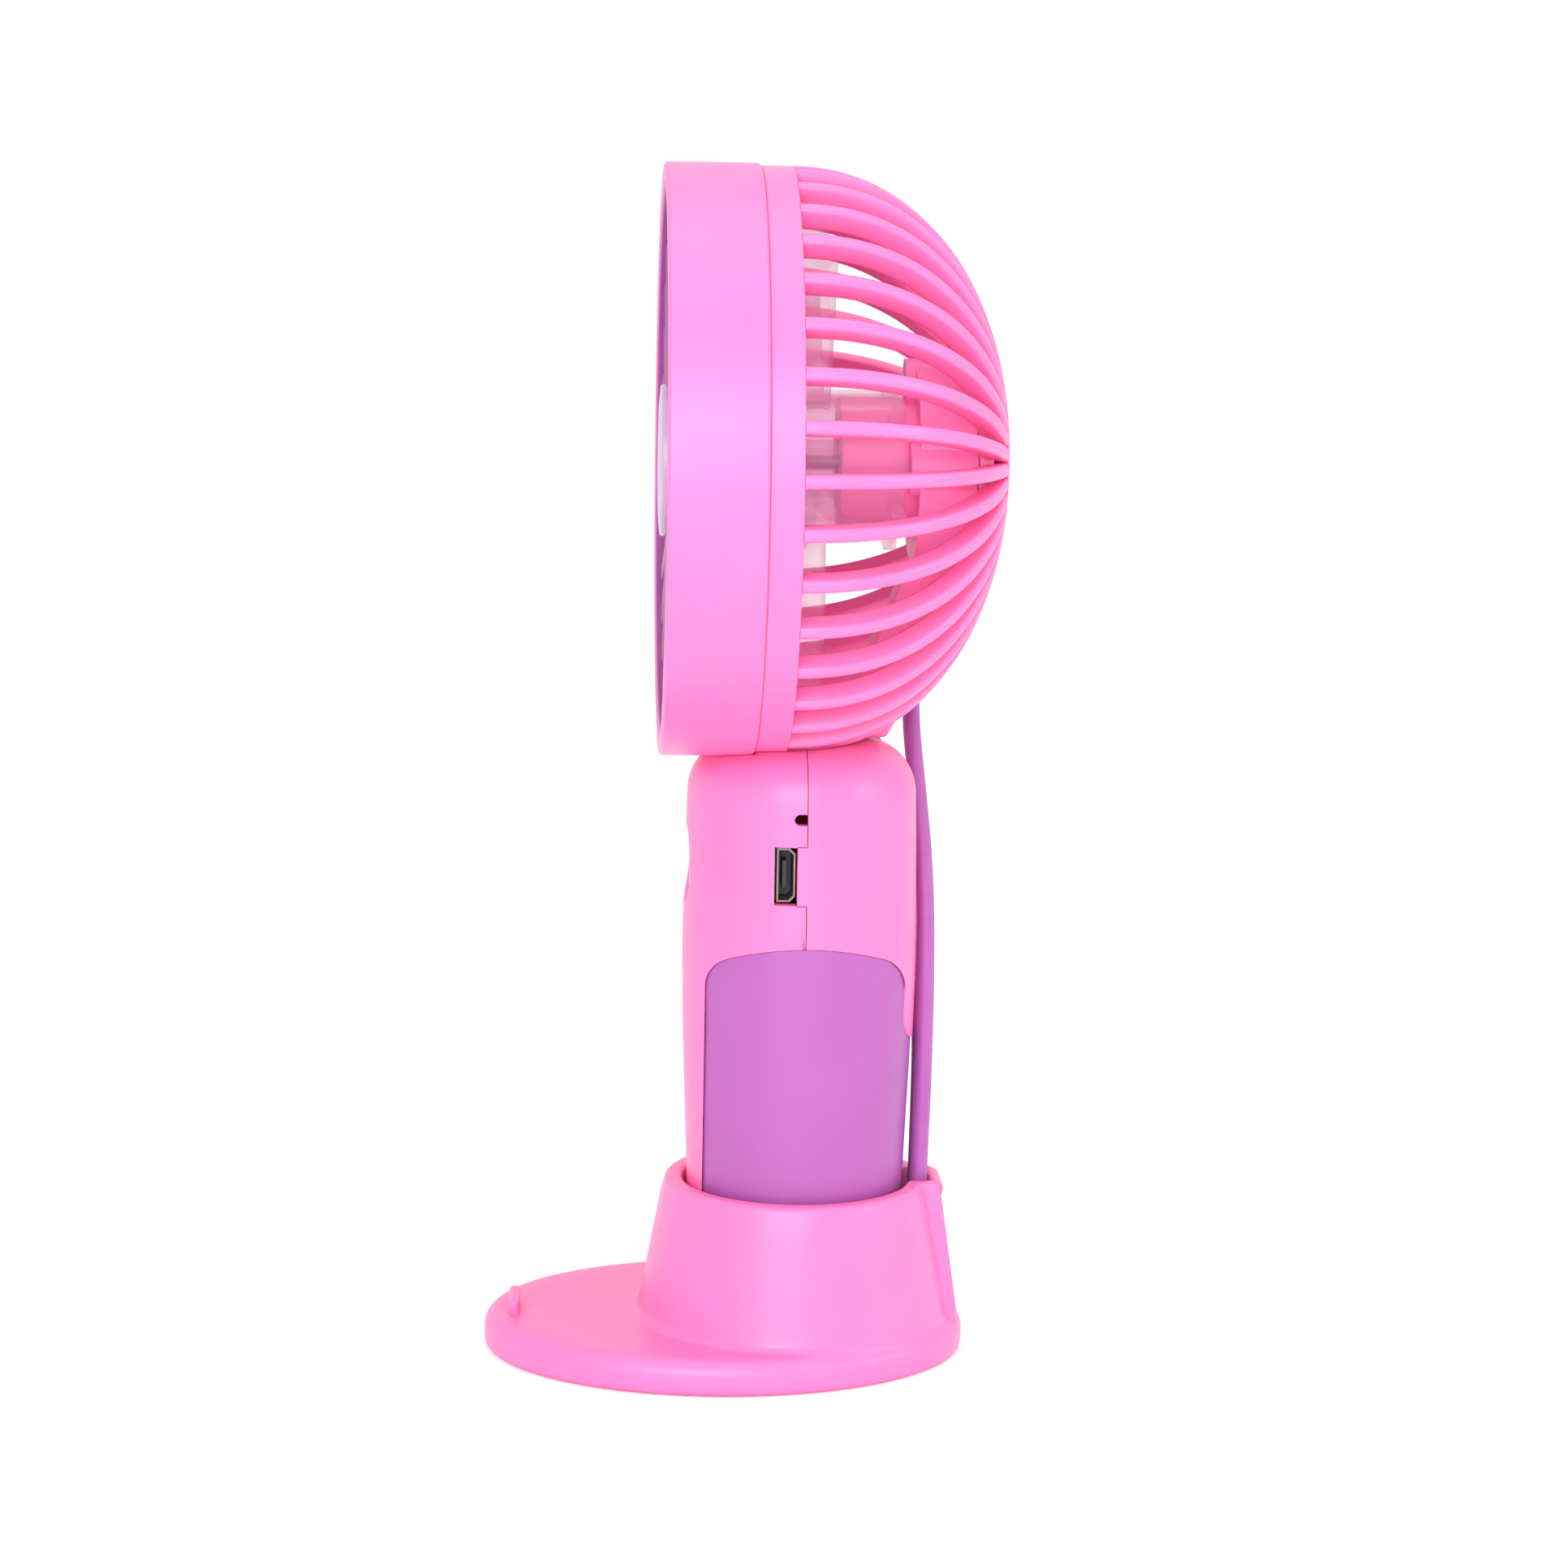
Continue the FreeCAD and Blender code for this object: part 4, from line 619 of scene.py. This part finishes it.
def grille_cap():
    """Slightly crowned disc with a skirt that snaps into the grille's hub."""
    radius = 0.5 * (cap_high[0] - cap_low[0])
    face, rear = cap_low[1], bar_front - 0.05 * MM
    skirt = grille_hub_r - 1.45 * MM
    skirt_inner = skirt - 1 * MM
    outline = [(0, face), (0.45 * radius, face + 0.03 * MM), (0.8 * radius, face + 0.12 * MM),
               (radius - 0.15 * MM, face + 0.3 * MM), (radius, face + 0.55 * MM), (radius, rear),
               (skirt, rear), (skirt, cap_high[1]), (skirt_inner, cap_high[1]),
               (skirt_inner, rear), (0, rear)]
    piece = turned_piece("grille_cap_skin", outline, finishes["cap_lavender"], 0.12 * MM, 128)
    placed(piece, "fan", "grille_cap")


# ---- Impeller ---------------------------------------------------------------------------
blade_count = 5
hub_r = 10.0 * MM
blade_tip_r = 36.0 * MM
blade_rear = 2.6 * MM
blade_thick = 1.2 * MM
blade_sunk = 0.4 * MM              # root inside the hub's wall
blade_camber = 1.8 * MM
blade_normal = (0.86, -0.5)        # (x, y) across a blade's middle surface
tip_trim, tip_trim_from = 0.10, 0.86
blade_phase, fin_phase = 14.0, 50.0   # degrees
fin_length, fin_reach, fin_half = 2.6 * MM, 2.6 * MM, 0.45 * MM
hub_wall = 0.55 * MM
hub_web = -4.2 * MM
hub_nose = -9.0 * MM
shaft_hole_r, sleeve_r, sleeve_rear = 1.0 * MM, 2.6 * MM, 3.5 * MM
nose_recess_r = 6.8 * MM


def blade_height(radius, share):
    """(x, y) of the blade's middle surface at one radius, from its front edge to its rear edge."""
    out = (radius - hub_r) / (blade_tip_r - hub_r)
    width = (11.0 + 2.4 * out) * MM
    sweep = (6.0 + 14.0 * out) * MM
    camber = blade_camber * 4 * share * (1 - share)
    length = hypot(width, sweep)
    x = sweep * (share - 0.5) + camber * width / length
    y = blade_rear - width * (1 - share) - camber * sweep / length
    return x, y


def blade():
    """One thin cambered blade with rounded tip corners, thickest at its root."""
    radial, chordwise = 18, 16
    normal = Vector(blade_normal).normalized()
    bm = bmesh.new()
    sides = []
    for face in (1, -1):
        grid = []
        for i in range(radial + 1):
            out = i / radial
            radius = hub_r - blade_sunk + (blade_tip_r - hub_r + blade_sunk) * out
            trim = tip_trim * max(0.0, (out - tip_trim_from) / 0.14) ** 2
            row = []
            for j in range(chordwise + 1):
                share = trim + (1 - 2 * trim) * j / chordwise
                x, y = blade_height(radius, share)
                taper = (1 - 0.35 * out) * sqrt(max(0.12, 1 - (2 * j / chordwise - 1) ** 4))
                half = face * 0.5 * blade_thick * taper
                lift = sqrt(max(radius * radius - x * x, 0.0))
                row.append(bm.verts.new((x + normal.x * half, y + normal.y * half, head_z + lift)))
            grid.append(row)
        sides.append(grid)
    top, bottom = sides
    for i in range(radial):
        for j in range(chordwise):
            bm.faces.new([top[i][j], top[i + 1][j], top[i + 1][j + 1], top[i][j + 1]])
            bm.faces.new([bottom[i][j], bottom[i][j + 1], bottom[i + 1][j + 1], bottom[i + 1][j]])
    rim = [(i, 0) for i in range(radial)] + [(radial, j) for j in range(chordwise)]
    rim += [(i, chordwise) for i in range(radial, 0, -1)] + [(0, j) for j in range(chordwise, 0, -1)]
    for (i, j), (k, l) in zip(rim, rim[1:] + rim[:1]):
        bm.faces.new([top[i][j], top[k][l], bottom[k][l], bottom[i][j]])
    return object_from("blade", finished_mesh(bm, "blade"), finishes["clear_blade"])


def root_fin():
    rear = wheel_rear
    root, tip = head_z + hub_r - 0.3 * MM, head_z + hub_r + fin_reach
    corners = [(rear - fin_length, root), (rear - 1.8 * MM, tip), (rear, tip), (rear, root)]
    fin = slab("fin", corners, fin_half, 0.2 * MM)
    fin.data.materials[0] = finishes["clear_blade"]
    return fin


def impeller():
    inner = hub_r - hub_wall
    web_rear = hub_web + 1.6 * MM
    outline = [(shaft_hole_r, hub_web), (nose_recess_r, hub_web), (nose_recess_r, hub_nose + 0.4 * MM),
               (7.2 * MM, hub_nose), (8.6 * MM, -8.6 * MM), (9.6 * MM, -7.5 * MM), (hub_r, -6.0 * MM),
               (hub_r, wheel_rear), (inner, wheel_rear), (inner, web_rear), (sleeve_r, web_rear),
               (sleeve_r, sleeve_rear), (shaft_hole_r, sleeve_rear)]
    hub = turned_piece("wheel_hub", outline, finishes["clear_blade"], 0.15 * MM, 96)
    blades = copies_about_head("blades", blade(), blade_count, blade_phase, finishes["clear_blade"])
    fins = copies_about_head("fins", root_fin(), blade_count, fin_phase, finishes["clear_blade"])
    piece = joined("impeller_skin", [hub, blades, fins], finishes["clear_blade"])
    placed(piece, "rotor", "impeller")


# ---- Copies of CAD shapes with rounded edges --------------------------------------------
copied = (
    ("handle_front_shell", "fan", "pink_shell", 0.10 * MM),
    ("handle_rear_shell", "fan", "pink_shell", 0.10 * MM),
    ("grip_cover", "fan", "orchid_cover", 0.35 * MM),
    ("motor_housing", "fan", "pink_shell", 0.20 * MM),
    ("strap_anchor", "fan", "orchid_cover", 0.20 * MM),
    ("power_button", "button", "pink_shell", 0.25 * MM),
    ("usb_socket_shell", "fan", "nickel_steel", 0.05 * MM),
    ("usb_socket_tongue", "fan", "black_plastic", 0.05 * MM),
    ("tact_switch_body", "fan", "black_plastic", 0.12 * MM),
    ("battery_cell", "fan", "cell_wrap", 0.10 * MM),
)


def copied_pieces():
    for node, body, slot, edge in copied:
        piece = copied_node(node + "_skin", node, finishes[slot], edge)
        placed(piece, body, node)


def repaint_frame():
    """Every CAD node that still shows gets its finish."""
    slots = {part["node"]: part["material_slot"] for part in frame["record"]["subparts"]}
    for node, piece in frame["nodes"].items():
        if not piece.material_slots:
            piece.data.materials.append(None)
        for slot in piece.material_slots:
            slot.material = finishes[slots[node]]


# ---- Base -------------------------------------------------------------------------------
plate_thick = 5.0 * MM
cup_bore_r = 15.95 * MM
cup_floor = 2.0 * MM
cup_wall = 2.7 * MM
cup_flare = 3.6 * MM
buttress_half = 5.4 * MM
channel_half = 3.65 * MM
channel_rear = 18.9 * MM
buttress_wall = 1.3 * MM
buttress_flare = 2.9 * MM
rim_inner_round = 0.9 * MM
rim_outer_round = 1.0 * MM
floor_round = 0.6 * MM
foot_fillet = 1.4 * MM
fillet_height = 1.2 * MM
plate_round = 2.2 * MM
underside_round = 1.2 * MM
stop_inset = 4.2 * MM
stop_half_y, stop_half_x, stop_height = 0.75 * MM, 4.0 * MM, 2.1 * MM


def soft_min(a, b, k=0.35 * MM):
    low = min(a, b)
    return low - k * log(exp(-(a - low) / k) + exp(-(b - low) / k))


def soft_max(a, b, k=0.3 * MM):
    return -soft_min(-a, -b, k)


def towards(turn, half, rear):
    """Distance from the axis to a slot or block of that half width and rear face, along one direction."""
    if cos(turn) < 0.3:
        return 0.0
    side = half / max(abs(sin(turn)), 1e-4)
    return soft_min(side, rear / cos(turn))


def bore_radius(turn):
    return max(cup_bore_r, towards(turn, channel_half, channel_rear))


def cup_radius(turn, drop):
    """Outer radius of the cup and its buttress, at a share of the way down from the rim to the foot."""
    cone = cup_bore_r + cup_wall + cup_flare * drop
    rear = channel_rear + buttress_wall + buttress_flare * drop
    return soft_max(cone, towards(turn, buttress_half, rear))


def plate_edge(turn):
    """Point on the oval edge of the plate along one direction from the axis, and its outward normal."""
    half_x = base_high[0]
    half_y = 0.5 * (base_high[1] - base_low[1])
    centre = 0.5 * (base_high[1] + base_low[1])
    dx, dy = sin(turn), cos(turn)
    a = (dx / half_x) ** 2 + (dy / half_y) ** 2
    b = -2 * dy * centre / half_y ** 2
    c = (centre / half_y) ** 2 - 1
    reach = (-b + sqrt(b * b - 4 * a * c)) / (2 * a)
    point = Vector((dx * reach, dy * reach))
    return point, Vector((point.x / half_x ** 2, (point.y - centre) / half_y ** 2)).normalized()


def plate_height(inset):
    """Height of the plate's top at a distance in from its edge, with the edge rounded."""
    if inset >= plate_round:
        return plate_thick
    return plate_thick - plate_round + sqrt(plate_round ** 2 - (plate_round - max(inset, 0.0)) ** 2)


def base_column(turn):
    """Points of the base's section along one direction, from the cup's floor round to the underside."""
    rim = base_high[2]
    bore = bore_radius(turn)
    direction = Vector((sin(turn), cos(turn)))
    column = [(direction * bore * 0.5, cup_floor), (direction * (bore - floor_round), cup_floor),
              (direction * bore, cup_floor + floor_round)]
    column += [(direction * bore, cup_floor + (rim - cup_floor) * s) for s in (0.3, 0.6, 0.85)]
    top_inner, top_outer = bore + rim_inner_round, cup_radius(turn, 0.0) - rim_outer_round
    for angle in (0, 22.5, 45, 67.5, 90):
        column.append((direction * (top_inner - rim_inner_round * cos(radians(angle))),
                       rim - rim_inner_round + rim_inner_round * sin(radians(angle))))
    top_outer = max(top_outer, top_inner + 0.05 * MM)
    for angle in (90, 67.5, 45, 22.5, 0):
        column.append((direction * (top_outer + rim_outer_round * cos(radians(angle))),
                       rim - rim_outer_round + rim_outer_round * sin(radians(angle))))
    for drop in (0.12, 0.3, 0.5, 0.7, 0.86, 0.94):
        column.append((direction * cup_radius(turn, drop), rim + (plate_thick - rim) * drop))
    edge, normal = plate_edge(turn)
    foot = cup_radius(turn, 1.0)
    room = max(edge.length - foot - foot_fillet, 0.45 * MM)
    blend = min(foot_fillet, max(edge.length - foot - room, 0.1 * MM))
    for angle in (15, 40, 65, 90):
        out = foot - 0.15 * MM + blend * (1 - cos(radians(angle)))
        up = fillet_height * (1 - sin(radians(angle)))
        column.append((direction * out, plate_height(edge.length - out) + up))
    for share in (0.8, 0.55, 0.3):
        inset = room * share
        column.append((edge - normal * inset, plate_height(inset)))
    for angle in (80, 62, 45, 28, 12, 0):
        inset = min(room * 0.28, plate_round * (1 - cos(radians(angle))))
        column.append((edge - normal * inset, plate_height(inset)))
    for angle in (0, 30, 60, 90):
        inset = underside_round * (1 - cos(radians(angle)))
        column.append((edge - normal * inset, underside_round * (1 - sin(radians(angle)))))
    column += [(edge * 0.7, 0.0), (edge * 0.35, 0.0)]
    return column


def base_stand():
    """Cup, buttress with the strap's channel, and oval plate, as one continuous skin."""
    fine = [i * 0.6 for i in range(-50, 51)]
    coarse = [30 + 3 * i for i in range(1, 100)]
    turns = [radians(t) for t in fine + coarse]
    bm = bmesh.new()
    columns = [[bm.verts.new((p.x, p.y, z)) for p, z in base_column(t)] for t in turns]
    floor_middle = bm.verts.new((0, 0, cup_floor))
    under_middle = bm.verts.new((0, 0, 0))
    for here, there in zip(columns, columns[1:] + columns[:1]):
        bm.faces.new([floor_middle, here[0], there[0]])
        bm.faces.new([under_middle, there[-1], here[-1]])
        for i in range(len(here) - 1):
            bm.faces.new([here[i], here[i + 1], there[i + 1], there[i]])
    piece = object_from("base_skin", finished_mesh(bm, "base_skin"), finishes["pink_shell"])
    stop_y = base_low[1] + stop_inset
    front, rear = stop_y - stop_half_y, stop_y + stop_half_y
    low, high = plate_thick - 0.5 * MM, plate_thick + stop_height
    ridge = slab("ridge", [(front, low), (front, high), (rear, high), (rear, low)], stop_half_x, 0.6 * MM)
    piece = joined("base_stand_skin", [piece, ridge], finishes["pink_shell"])
    placed(piece, "base", "base_stand")


# ---- Strap ------------------------------------------------------------------------------
strap_d = 2.5 * MM
# Control points in metres: up the back of the handle, round a loop beside the head, and back down.
strap_route = (
    (0.0016, 0.0173, 0.0100),
    (0.0015, 0.0174, 0.0240),
    (0.0009, 0.0179, 0.0390),
    (-0.0004, 0.0181, 0.0540),
    (-0.0026, 0.0179, 0.0675),
    (-0.0060, 0.0168, 0.0795),
    (-0.0112, 0.0160, 0.0890),
    (-0.0186, 0.0170, 0.0964),
    (-0.0276, 0.0172, 0.1014),
    (-0.0368, 0.0142, 0.1016),
    (-0.0434, 0.0098, 0.0956),
    (-0.0432, 0.0066, 0.0868),
    (-0.0355, 0.0062, 0.0812),
    (-0.0270, 0.0082, 0.0840),
    (-0.0205, 0.0109, 0.0852),
    (-0.0142, 0.0132, 0.0805),
    (-0.0124, 0.0148, 0.0716),
    (-0.0092, 0.0169, 0.0600),
    (-0.0054, 0.0180, 0.0470),
    (-0.0026, 0.0177, 0.0336),
    (-0.0017, 0.0174, 0.0216),
    (-0.0016, 0.0173, 0.0100),
)


def strap():
    curve = bpy.data.curves.new("strap_skin", "CURVE")
    curve.dimensions = "3D"
    spline = curve.splines.new("NURBS")
    spline.points.add(len(strap_route) - 1)
    for point, place in zip(spline.points, strap_route):
        point.co = (*place, 1.0)
    spline.order_u = 3
    spline.use_endpoint_u = True
    spline.resolution_u = 8
    bare = curve.copy()
    ruler = bpy.data.objects.new("ruler", bare)
    bpy.context.scene.collection.objects.link(ruler)
    line = evaluated_mesh(ruler)
    bpy.data.objects.remove(ruler)
    curve.bevel_depth = strap_d / 2
    curve.bevel_resolution = 6
    curve.use_fill_caps = True
    curve.materials.append(finishes["orchid_cord"])
    piece = bpy.data.objects.new("strap_skin", curve)
    bpy.context.scene.collection.objects.link(piece)
    placed(piece, "fan", "strap_cord")


# ---- Camera, floor and light ------------------------------------------------------------
def camera():
    """Eye beside the fan, near the height of its head and a little towards its front, looking down."""
    place = Vector((0.500, -0.0314, 0.1578))
    pitch, yaw, roll = radians(8.76), radians(3.31), radians(0.95)
    ahead = Vector((-cos(yaw) * cos(pitch), sin(yaw) * cos(pitch), -sin(pitch)))
    level = ahead.cross(Vector((0, 0, 1))).normalized()
    up = level.cross(ahead)
    right = level * cos(roll) + up * sin(roll)
    up = up * cos(roll) - level * sin(roll)
    lens = bpy.data.cameras.new("camera")
    lens.lens = 83.2
    lens.sensor_width = 36.0
    lens.clip_start = 0.01
    eye = bpy.data.objects.new("camera", lens)
    turn = Matrix((right, up, -ahead)).transposed()
    eye.matrix_world = Matrix.Translation(place) @ turn.to_4x4()
    bpy.context.scene.collection.objects.link(eye)
    bpy.context.scene.camera = eye


def floor():
    mesh = bpy.data.meshes.new("floor")
    bm = bmesh.new()
    bmesh.ops.create_grid(bm, x_segments=1, y_segments=1, size=12.0)
    bm.to_mesh(mesh)
    bm.free()
    paper = Finish("paper", 0.9)
    paper.coloured(paper.noise(40 * MM, 2.0), (0.955, 0.955, 0.955), (0.97, 0.97, 0.97))
    object_from("floor", mesh, paper.material)


def softbox(name, place, size, power):
    light = bpy.data.lights.new(name, "AREA")
    light.shape = "SQUARE"
    light.size = size
    light.energy = power
    lamp = bpy.data.objects.new(name, light)
    lamp.location = place
    target = Vector((0, 0, 0.08))
    lamp.rotation_euler = (target - Vector(place)).to_track_quat("-Z", "Y").to_euler()
    bpy.context.scene.collection.objects.link(lamp)


def light():
    world = bpy.data.worlds.new("studio")
    world.use_nodes = True
    backdrop = world.node_tree.nodes["Background"]
    backdrop.inputs["Color"].default_value = (1, 1, 1, 1)
    backdrop.inputs["Strength"].default_value = 1.05
    bpy.context.scene.world = world
    bpy.context.scene.view_settings.view_transform = "Standard"
    softbox("key", (0.75, -0.15, 0.34), 0.5, 4.6)
    softbox("top", (0.05, 0.1, 0.9), 0.6, 1.7)
    softbox("rear", (0.35, 0.75, 0.35), 0.4, 1.6)


head_ring()
rear_cage()
front_grille()
grille_cap()
impeller()
base_stand()
strap()
copied_pieces()
repaint_frame()
camera()
floor()
light()
